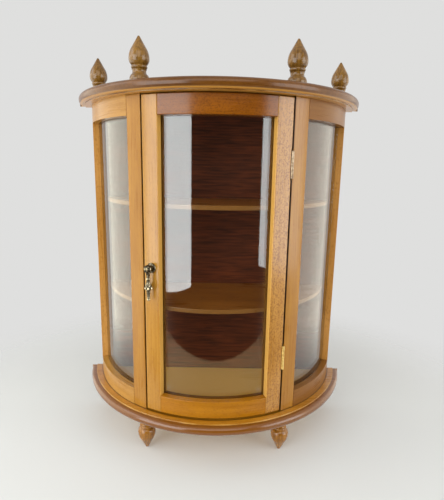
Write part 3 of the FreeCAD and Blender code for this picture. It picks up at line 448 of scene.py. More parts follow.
@dataclass(frozen=True)
class LitUnderside:
    """Painted light: a paler tone on faces that look down, standing in for light thrown up from the floor."""

    colour: Colour
    share: float = 0.85
    limits: Point = (0.66, 0.9)

    def lay(self, bench: Bench, base: Wire) -> Wire:
        """Lay the tone on the faces.

        Args:
            bench: Where the nodes go.
            base: Colour of the wood.

        Returns:
            Colour with the underside.
        """
        _, _, up = bench.parts(bench.node("ShaderNodeTexCoord", None, None, "Normal"))
        return bench.mix((-up).above(*self.limits) * self.share, base, self.colour)


@dataclass(frozen=True)
class Wood(Finish):
    """Stained and lacquered wood with streaks, short dark flecks and uneven stain."""

    FIGURE: ClassVar[Pattern] = Pattern(along=10, across=75, detail=3, twist=0.6)
    STREAK: ClassVar[Pattern] = Pattern(along=30, across=700, detail=3)
    CLOUD: ClassVar[Pattern] = Pattern(along=22, across=30, detail=2)
    SPREAD: ClassVar[Point] = (0.3, 0.7)

    name: str
    light: Colour
    dark: Colour
    fleck: Colour
    grain: Grain
    fleck_share: float = 0.4
    streak_share: float = 0.35
    cloud_share: float = 0.25
    roughness: float = 0.3
    streak_sheen: float = 0.12
    cloud_sheen: float = 0.16
    coat: float = 0.6
    coat_roughness: float = 0.18
    gloss: float = 0.15
    seed: float = 0.0
    fleck_length: float = 2.6 * MM
    fleck_width: float = 1.1 * MM
    fleck_depth: float = 2 * MM
    fleck_start: float = 0.56
    fleck_blur: float = 0.12
    fleck_twist: float = 0.5
    streak_height: float = 0.6
    fleck_sink: float = 0.5
    relief: float = 0.25 * MM
    relief_strength: float = 0.18
    tones: tuple[Union[LitUnderside, Rim, Side], ...] = ()

    def directions(self, bench: Bench) -> tuple[Wire, Wire, Wire]:
        """Coordinates along the grain, across it and into the wood.

        Args:
            bench: Where the nodes go.

        Returns:
            The three values in metres.
        """
        x, y, z = bench.about_axis()
        if self.grain is Grain.ACROSS:
            return x, y, z
        if self.grain is Grain.TURNED:
            return z, x, y
        radius = (x * x + y * y) ** 0.5
        arc_length = x.math("ARCTAN2", x, -y) * PLAN.frame_radius
        if self.grain is Grain.UPRIGHT:
            return z, arc_length, radius
        return arc_length, z, radius

    def dress(self, bench: Bench) -> None:
        """Add the nodes of the wood.

        Args:
            bench: Where the nodes go.
        """
        along, side, depth = self.directions(bench)
        along = along + self.seed
        figure, streak, cloud = (pattern.lay(bench, (along, side, depth))
                                 for pattern in (self.FIGURE, self.STREAK, self.CLOUD))
        where = bench.vector(along / self.fleck_length, side / self.fleck_width, depth / self.fleck_depth)
        grainy = bench.noise(where, detail=1, twist=self.fleck_twist)
        flecks = grainy.above(self.fleck_start, self.fleck_start + self.fleck_blur)
        tone = (figure.above(*self.SPREAD) * (1 - self.cloud_share - self.streak_share)
                + streak.above(*self.SPREAD) * self.streak_share
                + cloud.above(*self.SPREAD) * self.cloud_share)
        base = bench.mix(tone, self.dark, self.light)
        base = bench.mix(flecks * self.fleck_share, base, self.fleck)
        # The tones lay painted shade, painted light and worn lines over the wood.
        for other in self.tones:
            base = other.lay(bench, base)
        height = streak * self.streak_height - flecks * self.fleck_sink
        mean_sheen = (self.streak_sheen + self.cloud_sheen) / 2
        sheen = streak * self.streak_sheen + cloud * self.cloud_sheen + (self.roughness - mean_sheen)
        bench.close(bench.node("ShaderNodeBsdfPrincipled", None, {
            "Base Color": base, "Roughness": sheen,
            "Normal": bench.bump(height, self.relief, self.relief_strength), "Coat Weight": self.coat,
            "Coat Roughness": self.coat_roughness, "Specular IOR Level": self.gloss}))


@dataclass(frozen=True)
class Glass(Finish):
    """Clear bent glass, slightly uneven."""

    name: str
    refraction: float = 1.65
    clear_tone: Colour = tint(248, 250, 248)
    roughness: float = 0.02
    ripple_scale: float = 16
    ripple_detail: float = 1
    ripple_depth: float = 0.6 * MM
    ripple_strength: float = 0.12

    def dress(self, bench: Bench) -> None:
        """Add the nodes of the glass; its back faces mirror as its front faces do.

        Args:
            bench: Where the nodes go.
        """
        uneven = bench.noise(bench.place(), self.ripple_scale, self.ripple_detail)
        ripple = bench.bump(uneven, self.ripple_depth, self.ripple_strength)
        entering, leaving = (bench.node("ShaderNodeFresnel", None, {"IOR": ratio, "Normal": ripple})
                             for ratio in (self.refraction, 1 / self.refraction))
        inside = bench.node("ShaderNodeNewGeometry", None, None, "Backfacing")
        gloss = entering + (leaving - entering) * inside
        clear = bench.node("ShaderNodeBsdfTransparent", None, {"Color": self.clear_tone})
        mirror = bench.node("ShaderNodeBsdfPrincipled", None, {
            "Base Color": (1, 1, 1, 1), "Metallic": 1.0, "Roughness": self.roughness, "Normal": ripple})
        bench.close(bench.node("ShaderNodeMixShader", None, {0: gloss, 1: clear, 2: mirror}))


@dataclass(frozen=True)
class Metal(Finish):
    """Metal with fine scratches, dull spots and, where a piece carries it, a pale colour on rubbed high spots
    that are partly painted highlights, and on painted glints.
    """

    name: str
    clean: Colour
    dull: Colour
    roughness: float
    rubbed_and_highlight: Optional[Colour] = None
    spot_scale: float = 420.0
    spot_limits: Point = (0.4, 0.65)
    spot_sheen: float = 0.14
    scratch_scale: float = 2520.0
    scratch_sheen: float = 0.1
    scratch_depth: float = 0.05 * MM
    scratch_strength: float = 0.12
    glint_scale: float = 672.0
    glint_limits: Point = (0.56, 0.66)
    glint_share: float = 0.35
    rub_and_highlight_share: float = 0.75
    mean_sheen: float = 0.08

    def dress(self, bench: Bench) -> None:
        """Add the nodes of the metal.

        Args:
            bench: Where the nodes go.
        """
        where = bench.place()
        spots = bench.noise(where, self.spot_scale, detail=3).above(*self.spot_limits)
        scratch = bench.noise(where, self.scratch_scale)
        base = bench.mix(spots, self.clean, self.dull)
        if self.rubbed_and_highlight:
            # Rubbed high spots, partly painted highlights, take the pale colour.
            rub_and_highlight = bench.node("ShaderNodeAttribute", {"attribute_name": Pull.RUB_AND_HIGHLIGHT}, None, "Fac")
            # Painted glints: random bright specks in the pale colour.
            glints = bench.noise(where, self.glint_scale).above(*self.glint_limits)
            base = bench.mix(rub_and_highlight * self.rub_and_highlight_share + glints * self.glint_share, base, self.rubbed_and_highlight)
        sheen = spots * self.spot_sheen + scratch * self.scratch_sheen + (self.roughness - self.mean_sheen)
        bench.close(bench.node("ShaderNodeBsdfPrincipled", None, {
            "Base Color": base, "Metallic": 1.0, "Roughness": sheen,
            "Normal": bench.bump(scratch, self.scratch_depth, self.scratch_strength)}))


FLECK = tint(122, 66, 18)
# Painted shade: the sides of the door gap are painted dark, standing in for the shade inside the gap.
GAP_SHADE_TONE = tint(40, 18, 6)
# Painted light: a pale tone on the sides of the stiles beside the door glass, standing in for window light on
# them.
SIGHT_LIGHT_TONE = tint(222, 170, 86)
NOSE_EDGE = PLAN.board_radius - 5.5 * MM
# Painted shade on the sides of the door gap.
LATCH_GAP_SHADE = Side(-PLAN.door_half_angle, 0.72 * MM, GAP_SHADE_TONE, share=0.85)
HINGE_GAP_SHADE = Side(PLAN.door_half_angle, 1.05 * MM, GAP_SHADE_TONE, share=0.9)
# Painted light on the sides of the stiles beside the door glass.
LATCH_SIGHT_LIGHT = Side(-PLAN.sight, 0.3 * MM, SIGHT_LIGHT_TONE, share=0.7)
HINGE_SIGHT_LIGHT = replace(LATCH_SIGHT_LIGHT, azimuth=PLAN.sight)
POST_WOOD = Wood("post_wood", tint(172, 121, 38), tint(146, 93, 16), FLECK, Grain.UPRIGHT,
                 fleck_share=0.16, seed=0.3, tones=(LATCH_GAP_SHADE, HINGE_GAP_SHADE))
LATCH_WOOD = Wood("latch_stile_wood", tint(182, 131, 46), tint(156, 104, 20), FLECK, Grain.UPRIGHT,
                  fleck_share=0.2, seed=1.1, coat=0.8, tones=(LATCH_GAP_SHADE, LATCH_SIGHT_LIGHT))
HINGE_WOOD = Wood("hinge_stile_wood", tint(188, 136, 60), tint(158, 105, 30), tint(104, 56, 14),
                  Grain.UPRIGHT, fleck_share=0.55, seed=2.7, coat=1.0, fleck_length=1.3 * MM,
                  fleck_width=1.0 * MM, fleck_start=0.5, tones=(HINGE_GAP_SHADE, HINGE_SIGHT_LIGHT))
TOP_RAIL_WOOD = Wood("door_top_rail_wood", tint(142, 81, 4), tint(110, 58, 1), tint(78, 39, 1),
                     Grain.BOWED, fleck_share=0.5, seed=0.9, coat=0.7, gloss=0.08,
                     fleck_length=1.2 * MM, fleck_width=0.9 * MM, fleck_start=0.51)
BOTTOM_RAIL_WOOD = Wood("door_bottom_rail_wood", tint(174, 115, 18), tint(146, 90, 6), tint(104, 57, 5),
                        Grain.BOWED, fleck_share=0.3, seed=1.7, coat=0.5, gloss=0.08,
                        fleck_length=1.6 * MM)
# Painted light and shade: the left side rails get a lighter copy of the rail wood, the right ones a darker
# copy, for light from the left.
LEFT_RAIL_WOOD_PAINTED_LIGHT = Wood("left_rail_wood_painted_light", tint(182, 135, 64), tint(153, 104, 34), FLECK, Grain.BOWED,
                      fleck_share=0.25, seed=3.9, coat=0.4)
RIGHT_RAIL_WOOD_PAINTED_SHADE = Wood("right_rail_wood_painted_shade", tint(140, 95, 40), tint(114, 68, 18), FLECK, Grain.BOWED,
                       fleck_share=0.3, seed=3.2, coat=0.2)
BACK_WOOD = Wood("back_stile_wood", tint(206, 150, 80), tint(172, 116, 44), FLECK, Grain.UPRIGHT,
                 fleck_share=0.3, seed=5.2)
# Painted shade: the glazing strips are painted dark so that the edge of each glass reads as a shadow line;
# the catch block shares this wood.
STRIP_WOOD_PAINTED_SHADE = Wood("glazing_strip_wood_painted_shade", tint(122, 76, 26), tint(92, 54, 14), FLECK, Grain.BOWED,
                  fleck_share=0.3, seed=6.4)
TOP_WOOD = Wood("top_board_wood", tint(116, 71, 19), tint(85, 48, 8), tint(64, 36, 7), Grain.ACROSS,
                fleck_share=0.3, roughness=0.32, seed=4.1, coat=0.5, tones=(
                    # Painted light from below on the faces of the top board that look down.
                    LitUnderside(tint(208, 152, 70)),
                    # Pale patchy line along the arris of the top board: a worn edge, partly a painted
                    # highlight.
                    Rim(NOSE_EDGE, 0.6 * MM, tint(222, 178, 110), share=0.35)))
BASE_WOOD = Wood("base_board_wood", tint(190, 132, 36), tint(154, 98, 14), tint(110, 62, 8), Grain.ACROSS,
                 fleck_share=0.3, seed=4.6, coat=1.0, tones=(
                     # Painted shade: the rounded nose is painted darker than the flat top.
                     Rim(PLAN.board_radius, 6 * MM, tint(102, 53, 3), share=0.85, patchy=False, softness=0.2),
                     # Painted shade with a dirt line: a dark ring where the frame stands on the board.
                     Rim(PLAN.frame_radius, 1.3 * MM, tint(52, 26, 6), share=0.7, patchy=False),
                     # Painted light: the board inside the frame is painted paler, standing in for light
                     # inside the cabinet.
                     Rim(0, PLAN.frame_in, tint(226, 174, 84), share=0.85, patchy=False, softness=0.02),
                     # Pale patchy line along the arris of the flat top: a worn edge, partly a painted
                     # highlight.
                     Rim(NOSE_EDGE, 0.5 * MM, tint(222, 180, 104), share=0.4)))
TURNED_WOOD = Wood("lathe_turned_wood", tint(146, 105, 42), tint(88, 57, 15), tint(58, 35, 9), Grain.TURNED,
                   streak_share=0.5, roughness=0.26, coat=0.7, seed=7.7)
# Painted light: the feet get a lighter copy of the turned wood, standing in for light from the floor.
FOOT_WOOD_PAINTED_LIGHT = replace(TURNED_WOOD, name="foot_turned_wood_painted_light", light=tint(180, 122, 42), dark=tint(116, 71, 16),
                    fleck=tint(70, 41, 9))
SHELF_WOOD = Wood("shelf_board_wood", tint(172, 106, 38), tint(132, 75, 20), tint(76, 39, 10), Grain.ACROSS,
                  fleck_share=0.35, seed=8.3, coat=0.3, tones=(
                      Rim(PLAN.frame_in - 0.6 * MM, 0.5 * MM, tint(138, 92, 46), share=0.9, patchy=False),))
PLY_WOOD = Wood("stained_plywood", tint(114, 52, 21), tint(70, 30, 12), tint(38, 16, 8), Grain.ACROSS,
                streak_share=0.6, roughness=0.5, coat=0.0, gloss=0.2, seed=9.6,
                fleck_length=26 * MM, fleck_width=0.9 * MM, fleck_start=0.5)
CLEAR_GLASS = Glass("bent_glass")
BRASS = Metal("bright_brass", tint(252, 228, 150), tint(216, 178, 100), roughness=0.4)
# Painted shade: the upper hinge, which hangs in shade, gets a greyer, paler copy of the brass rather than
# another metal.
UPPER_HINGE_BRASS_PAINTED_SHADE = Metal("upper_hinge_brass_painted_shade", tint(186, 166, 140), tint(140, 118, 92), roughness=0.42)
# Dark metal whose pale colour marks worn high spots that are partly painted highlights, and painted glints.
DARK_METAL = Metal("antique_metal", tint(54, 46, 38), tint(26, 22, 19), roughness=0.3,
                   rubbed_and_highlight=tint(232, 214, 172))
STEEL = Metal("plain_steel", tint(176, 178, 182), tint(128, 128, 132), roughness=0.32)


class Form:
    """A mesh in the making, in the cabinet's own frame."""

    STEP: ClassVar[float] = math.radians(1.2)
    SHARP: ClassVar[float] = math.radians(40)
    SMOOTH: ClassVar[float] = math.radians(38)
    ROD_EASE: ClassVar[float] = 0.12

    def __init__(self) -> None:
        """Start with an empty mesh."""
        self.mesh = bmesh.new()

    def grid(self, radii: Sequence[float], levels: Sequence[float], azimuth: float,
             without: Iterable[Point] = ()) -> dict[Point, BMFace]:
        """Upright section through the axis, as a grid of cells.

        Args:
            radii: Radii of the grid's upright lines.
            levels: Heights of its level lines.
            azimuth: Where the section stands.
            without: Cells that stay empty.

        Returns:
            The faces by place in the grid.
        """
        lines = [[self.mesh.verts.new(PLAN.point(radius, azimuth, level)) for level in levels]
                 for radius in radii]
        cells = {}
        for column, (near, far) in enumerate(zip(lines, lines[1:])):
            for row in range(len(levels) - 1):
                if (column, row) not in without:
                    corners = (near[row], far[row], far[row + 1], near[row + 1])
                    cells[(column, row)] = self.mesh.faces.new(corners)
        loose = [vert for vert in self.mesh.verts if not vert.link_faces]
        bmesh.ops.delete(self.mesh, geom=loose, context="VERTS")
        return cells

    def sweep(self, cells: dict[Point, BMFace], turn: float) -> dict[Point, BMFace]:
        """Carry cells of a section round the axis.

        Args:
            cells: Faces to carry on.
            turn: Angle, positive to the right.

        Returns:
            The same cells at the far end.
        """
        marks = {key: self.mark(face) for key, face in cells.items()}
        parts = set(cells.values())
        for face in cells.values():
            parts.update(face.edges)
            parts.update(face.verts)
        steps = max(2, round(abs(turn) / self.STEP))
        made = bmesh.ops.spin(self.mesh, geom=list(parts), cent=PLAN.axis, axis=(0, 0, 1), dvec=(0, 0, 0),
                              angle=turn, steps=steps, use_merge=False, use_normal_flip=False,
                              use_duplicate=False)
        faces = [item for item in made["geom_last"] if isinstance(item, BMFace)]
        return {key: min(faces, key=lambda face: (self.mark(face) - mark).length)
                for key, mark in marks.items()}

    @staticmethod
    def mark(face: BMFace) -> Vector:
        """Radius and level of the middle of a face."""
        middle = face.calc_center_median()
        return Vector((PLAN.radius_of(middle), middle.z))

    def lathe(self, profile: Sequence[Point], facets: int = 64) -> None:
        """Turn a profile about the upright axis through the origin.

        Args:
            profile: Points of radius and level, from end to end.
            facets: Divisions of the full turn.
        """
        verts = [self.mesh.verts.new((radius, 0, level)) for radius, level in profile]
        edges = [self.mesh.edges.new(pair) for pair in zip(verts, verts[1:])]
        bmesh.ops.spin(self.mesh, geom=verts + edges, cent=(0, 0, 0), axis=(0, 0, 1), dvec=(0, 0, 0),
                       angle=2 * math.pi, steps=facets, use_merge=True, use_normal_flip=False,
                       use_duplicate=False)
        bmesh.ops.remove_doubles(self.mesh, verts=self.mesh.verts, dist=WELD)

    def block(self, low: Sequence[float], high: Sequence[float]) -> list[BMEdge]:
        """Add a block between two corners.

        Args:
            low: Lowest corner.
            high: Highest corner.

        Returns:
            Its edges.
        """
        size = Vector(high) - Vector(low)
        place = Matrix.Translation((Vector(low) + Vector(high)) / 2) @ Matrix.Diagonal((*size, 1))
        made = bmesh.ops.create_cube(self.mesh, size=1, matrix=place)
        return list({edge for vert in made["verts"] for edge in vert.link_edges})

    def rod(self, radius: float, length: float, place: Matrix, sides: int = 24) -> None:
        """Add a round rod with eased ends; its axis is the Z axis of its place.

        Args:
            radius: Radius of the rod.
            length: Its length, half on each side of its place.
            place: Where it lies.
            sides: Sides of the round.
        """
        made = bmesh.ops.create_cone(self.mesh, cap_ends=True, cap_tris=False, segments=sides,
                                     radius1=radius, radius2=radius, depth=length, matrix=place)
        rims = {edge for vert in made["verts"] for edge in vert.link_edges
                if any(len(face.verts) == sides for face in edge.link_faces)}
        self.bevel(rims, min(radius, length) * self.ROD_EASE, segments=2)

    def bevel(self, edges: Iterable[BMEdge], width: float, segments: int) -> None:
        """Round edges to a width with a number of facets."""
        bmesh.ops.bevel(self.mesh, geom=list(edges), offset=width, offset_type="OFFSET", segments=segments,
                        profile=0.5, affect="EDGES", material=-1, clamp_overlap=True)

    def ease(self, width: float, segments: int = 3,
             chosen: Callable[[BMEdge], bool] = lambda edge: True) -> None:
        """Round the sharp outer edges that a test picks.

        Args:
            width: Width of the rounding.
            segments: Facets of the rounding.
            chosen: Test of an edge.
        """
        self.close()
        sharp = [edge for edge in self.mesh.edges
                 if edge.is_manifold and edge.calc_face_angle_signed() > self.SHARP and chosen(edge)]
        self.bevel(sharp, width, segments)

    def split(self, depth: float, clear: bool = False) -> None:
        """Cut the form by an upright plane at a depth, and clear what lies behind it if asked."""
        parts = self.mesh.verts[:] + self.mesh.edges[:] + self.mesh.faces[:]
        bmesh.ops.bisect_plane(self.mesh, geom=parts, dist=WELD, plane_co=(0, depth, 0),
                               plane_no=(0, 1, 0), clear_outer=clear)

    def trim(self, depth: float) -> None:
        """Cut the form off flat behind a depth and close the cut.

        Args:
            depth: Where the cut lies.
        """
        self.split(depth, clear=True)
        rim = [edge for edge in self.mesh.edges if edge.is_boundary]
        bmesh.ops.holes_fill(self.mesh, edges=rim, sides=0)

    def divide(self, rise: float, cuts: int) -> None:
        """Divide edges that climb more than a rise by a number of cuts."""
        tall = [edge for edge in self.mesh.edges if abs(edge.verts[0].co.z - edge.verts[1].co.z) > rise]
        bmesh.ops.subdivide_edges(self.mesh, edges=tall, cuts=cuts, smooth=0)

    def take(self, other: "Form") -> None:
        """Move another form's mesh into this one.

        Args:
            other: The form, which is used up.
        """
        store = bpy.data.meshes.new("store")
        other.mesh.to_mesh(store)
        other.mesh.free()
        self.mesh.from_mesh(store)
        bpy.data.meshes.remove(store)

    def move(self, place: Matrix) -> None:
        """Carry the whole form to its place."""
        bmesh.ops.transform(self.mesh, matrix=place, verts=self.mesh.verts)

    def close(self) -> None:
        """Merge doubles and turn all faces outwards."""
        bmesh.ops.remove_doubles(self.mesh, verts=self.mesh.verts, dist=WELD)
        bmesh.ops.recalc_face_normals(self.mesh, faces=self.mesh.faces)

    def object(self, name: str) -> bpy.types.Object:
        """Make a scene object of the form.

        Args:
            name: Name of the object.

        Returns:
            The object, at the origin.
        """
        self.close()
        for face in self.mesh.faces:
            face.smooth = True
        for edge in self.mesh.edges:
            edge.smooth = edge.is_manifold and edge.calc_face_angle() < self.SMOOTH
        data = bpy.data.meshes.new(name)
        self.mesh.to_mesh(data)
        self.mesh.free()
        piece = bpy.data.objects.new(name, data)
        bpy.context.scene.collection.objects.link(piece)
        return piece


def span(node: str) -> Point:
    """Lowest and highest level of a node."""
    low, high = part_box(node)
    return low.z, high.z


def on_face(edge: BMEdge) -> bool:
    """True for an edge at the outer face of the frame."""
    return all(abs(PLAN.radius_of(vert.co) - PLAN.frame_radius) < TOUCH for vert in edge.verts)


def sector(inner: float, outer: float, levels: Point, start: float, end: float) -> Form:
    """Plain bowed bar.

    Args:
        inner: Inner radius.
        outer: Outer radius.
        levels: Bottom and top.
        start: First azimuth.
        end: Last azimuth.

    Returns:
        The form.
    """
    form = Form()
    form.sweep(form.grid((inner, outer), levels, start), end - start)
    return form


def bedded_upright(node: str, inner: float, start: float, end: float) -> Form:
    """Bowed upright with the bed of a glass along one side.

    Args:
        node: Node that gives its levels.
        inner: Inner radius.
        start: Azimuth of its plain side.
        end: Azimuth of the side with the bed.

    Returns:
        The form.
    """
    form = Form()
    lap = math.copysign(PLAN.rabbet_arc, end - start)
    cells = form.grid((inner, PLAN.bed, PLAN.frame_radius), span(node), start)
    cells = form.sweep(cells, end - start - lap)
    form.sweep({(1, 0): cells[(1, 0)]}, lap)
    return form


def round_radius(rise: float, bulge: float) -> float:
    """Radius of an arc that meets the upright at one end."""
    return (rise ** 2 + bulge ** 2) / (2 * bulge)


def arc(start: Point, end: Point, radius: float, steps: int = 12) -> list[Point]:
    """Points of an arc after its start.

    Args:
        start: First point.
        end: Last point.
        radius: Radius, positive where the arc bulges to the right of the way it runs.
        steps: Pieces of the arc.

    Returns:
        The points up to the end.
    """
    first, last = Vector(start), Vector(end)
    chord = last - first
    offset = math.copysign(math.sqrt(max(radius ** 2 - chord.length_squared / 4, 0)), radius)
    centre = (first + last) / 2 + Vector((-chord.y, chord.x)) / chord.length * offset
    begin = math.atan2(first.y - centre.y, first.x - centre.x)
    turn = math.atan2(last.y - centre.y, last.x - centre.x) - begin
    turn = (turn + math.pi) % (2 * math.pi) - math.pi
    reach = abs(radius)
    angles = [begin + turn * step / steps for step in range(1, steps + 1)]
    return [(centre.x + reach * math.cos(angle), centre.y + reach * math.sin(angle)) for angle in angles]


@dataclass
class Assembly:
    """A sub-assembly that builds its pieces and reports them."""

    body: str = "cabinet"
    slot: str = "honey_wood"
    pieces: list[bpy.types.Object] = field(default_factory=list, init=False)

    def add(self, form: Form, finish: Finish, *nodes: str, body: str = "", slot: str = "",
            cuts: Sequence[Form] = ()) -> bpy.types.Object:
        """Finish a form as a piece of the cabinet.

        Args:
            form: The mesh.
            finish: What it is dressed in.
            nodes: Nodes of the frame that it stands for; the first gives its name.
            body: Body that it rides on, where not the assembly's own.
            slot: Material slot, where not the assembly's own; not used.
            cuts: Forms that are cut out of it.

        Returns:
            The piece.
        """
        piece = form.object(f"{nodes[0]}_piece")
        for cut in cuts:
            self.carve(piece, cut)
        weighted = piece.modifiers.new("even_shading", "WEIGHTED_NORMAL")
        weighted.keep_sharp = True
        piece.data.materials.clear()
        piece.data.materials.append(finish.material())
        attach(piece, body or self.body)
        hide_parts(*nodes)
        self.pieces.append(piece)
        return piece

    @staticmethod
    def carve(piece: bpy.types.Object, cut: Form) -> None:
        """Cut a closed form out of a piece.

        Args:
            piece: The piece.
            cut: The form that is taken away.
        """
        tool = cut.object("cut")
        cutting = piece.modifiers.new("cut", "BOOLEAN")
        cutting.operation = "DIFFERENCE"
        cutting.solver = "EXACT"
        cutting.object = tool
        shaped = bpy.data.meshes.new_from_object(piece.evaluated_get(bpy.context.evaluated_depsgraph_get()))
        piece.modifiers.clear()
        plain, piece.data = piece.data, shaped
        shaped.name = piece.name
        bpy.data.meshes.remove(plain)
        waste = tool.data
        bpy.data.objects.remove(tool)
        bpy.data.meshes.remove(waste)

    def keep(self, node: str, finish: Finish) -> None:
        """Dress a node of the frame whose shape stays.

        Args:
            node: Name of the node.
            finish: What it is dressed in.
        """
        piece = frame["nodes"][node]
        for holder in piece.material_slots:
            holder.material = finish.material()
        if not piece.material_slots:
            piece.data.materials.append(finish.material())
        self.pieces.append(piece)

    def build(self) -> None:
        """Build all pieces."""
        raise NotImplementedError


@dataclass
class Boards(Assembly):
    """Base board and top board with rounded nose and a raised flat towards the frame."""

    land_height: float = 0.8 * MM
    land_inset: float = 1.7 * MM
    nose_flat: float = 0.6 * MM
    nose_facets: int = 9
    arris: float = 0.3 * MM

    def build(self) -> None:
        """Build both boards."""
        self.board("base_board", False, BASE_WOOD)
        self.board("top_board", True, TOP_WOOD)

    def board(self, node: str, upside_down: bool, finish: Finish) -> None:
        """Build one board.

        Args:
            node: Node that it stands for.
            upside_down: True where the raised flat lies below.
            finish: Its wood.
        """
        low, high = span(node)
        nose = (high - low - self.land_height - self.nose_flat) / 2
        land_radius = PLAN.board_radius - nose - self.land_inset
        step, land = (low + self.land_height, low) if upside_down else (high - self.land_height, high)
        empty = (1, 0) if upside_down else (1, 1)
        form = Form()
        radii = (CORE, land_radius, PLAN.board_radius)
        form.sweep(form.grid(radii, (low, step, high), -QUARTER, [empty]), math.pi)
        form.trim(PLAN.back)
        form.close()
        rim = [edge for edge in form.mesh.edges if self.on_rim(edge, PLAN.board_radius)]
        form.bevel(rim, nose, self.nose_facets)
        edge_of_land = [edge for edge in form.mesh.edges
                        if self.on_rim(edge, land_radius) and abs(edge.verts[0].co.z - land) < TOUCH]
        form.bevel(edge_of_land, self.arris, segments=2)
        self.add(form, finish, node)

    @staticmethod
    def on_rim(edge: BMEdge, radius: float) -> bool:
        """Tell whether an edge is level and runs along a radius.

        Args:
            edge: The edge.
            radius: Distance from the axis.

        Returns:
            True where it does.
        """
        first, last = (vert.co for vert in edge.verts)
        level = abs(first.z - last.z) < WELD
        return level and all(abs(PLAN.radius_of(spot) - radius) < TOUCH for spot in (first, last))


@dataclass
class Turnings(Assembly):
    """Four finials and four feet of one turned form."""

    slot: str = "turned_wood"
    disc: float = 8.1 * MM
    disc_arris: float = 0.4 * MM
    collar: float = 6.9 * MM
    neck: float = 6.1 * MM
    groove: float = 5.5 * MM
    seat: float = 6 * MM
    widest: float = 8.35 * MM
    flank: float = 16 * MM
    cove_hollow: float = 0.9 * MM
    bead_bulge: float = 0.6 * MM
    rises: tuple[float, ...] = (2.2, 3.8, 4.2, 0.3, 0.3, 2.5, 4.9, 9, 8.4)
    finial_tip: float = 0.6 * MM
    foot_tip: float = 1.2 * MM
    tip_flare: float = 0.25 * MM
    tip_rise: float = 0.3 * MM
    tip_flat: float = 0.7

    def profile(self, tip: float) -> list[Point]:
        """Half the section of a finial, from its seat to its tip.

        Args:
            tip: Radius of the blunt end.

        Returns:
            Points of radius and level.
        """
        levels = [0.0]
        for rise in self.rises:
            levels.append(levels[-1] + rise * MM)
        _, disc_top, collar_at, neck_at, groove_at, bead_low, bead_high, belly_at, shoulder_at, end = levels
        shoulder = self.widest - self.flank + math.sqrt(self.flank ** 2 - (shoulder_at - belly_at) ** 2)
        cove_half = math.hypot(neck_at - collar_at, self.collar - self.neck) / 2
        line: list[Point] = [(0, 0), (self.disc - self.disc_arris, 0), (self.disc, self.disc_arris),
                             (self.disc, disc_top)]
        line += arc(line[-1], (self.collar, collar_at),
                    round_radius(collar_at - disc_top, self.disc - self.collar))
        line += arc(line[-1], (self.neck, neck_at), -round_radius(cove_half, self.cove_hollow))
        line += [(self.groove, groove_at), (self.seat, bead_low)]
        line += arc(line[-1], (self.seat, bead_high),
                    round_radius((bead_high - bead_low) / 2, self.bead_bulge))
        line += arc(line[-1], (self.widest, belly_at),
                    round_radius(belly_at - bead_high, self.widest - self.seat))
        line += arc(line[-1], (shoulder, shoulder_at), self.flank)
        return line + [(tip + self.tip_flare, end - self.tip_rise), (tip * self.tip_flat, end), (0, end)]

    def build(self) -> None:
        """Build feet and finials."""
        for row in ("front", "back"):
            for side in ("left", "right"):
                self.turn(f"finial_{row}_{side}", False)
                self.turn(f"foot_{row}_{side}", True)

    def turn(self, node: str, upside_down: bool) -> None:
        """Build one turning.

        Args:
            node: Node that it stands for.
            upside_down: True for a foot.
        """
        low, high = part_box(node)
        middle = (low + high) / 2
        form = Form()
        form.lathe(self.profile(self.foot_tip if upside_down else self.finial_tip))
        height = sum(self.rises) * MM
        if upside_down:
            form.move(Matrix.Translation((middle.x, middle.y, height)) @ Matrix.Rotation(math.pi, 4, "X"))
        else:
            form.move(Matrix.Translation((middle.x, middle.y, high.z - height)))
        # Feet take the lighter copy of the turned wood: painted light.
        self.add(form, FOOT_WOOD_PAINTED_LIGHT if upside_down else TURNED_WOOD, node)


class HingeSide(Enum):
    """Side of the hinge gap; the value is the way that it lies along X."""

    POST = 1
    DOOR = -1

    @property
    def body(self) -> str:
        """Body that this side belongs to."""
        return "cabinet" if self is HingeSide.POST else "door"

    def across(self, near: float, far: float) -> Point:
        """Lower and higher X of what lies from near to far on this side."""
        low, high = sorted((self.value * near, self.value * far))
        return low, high


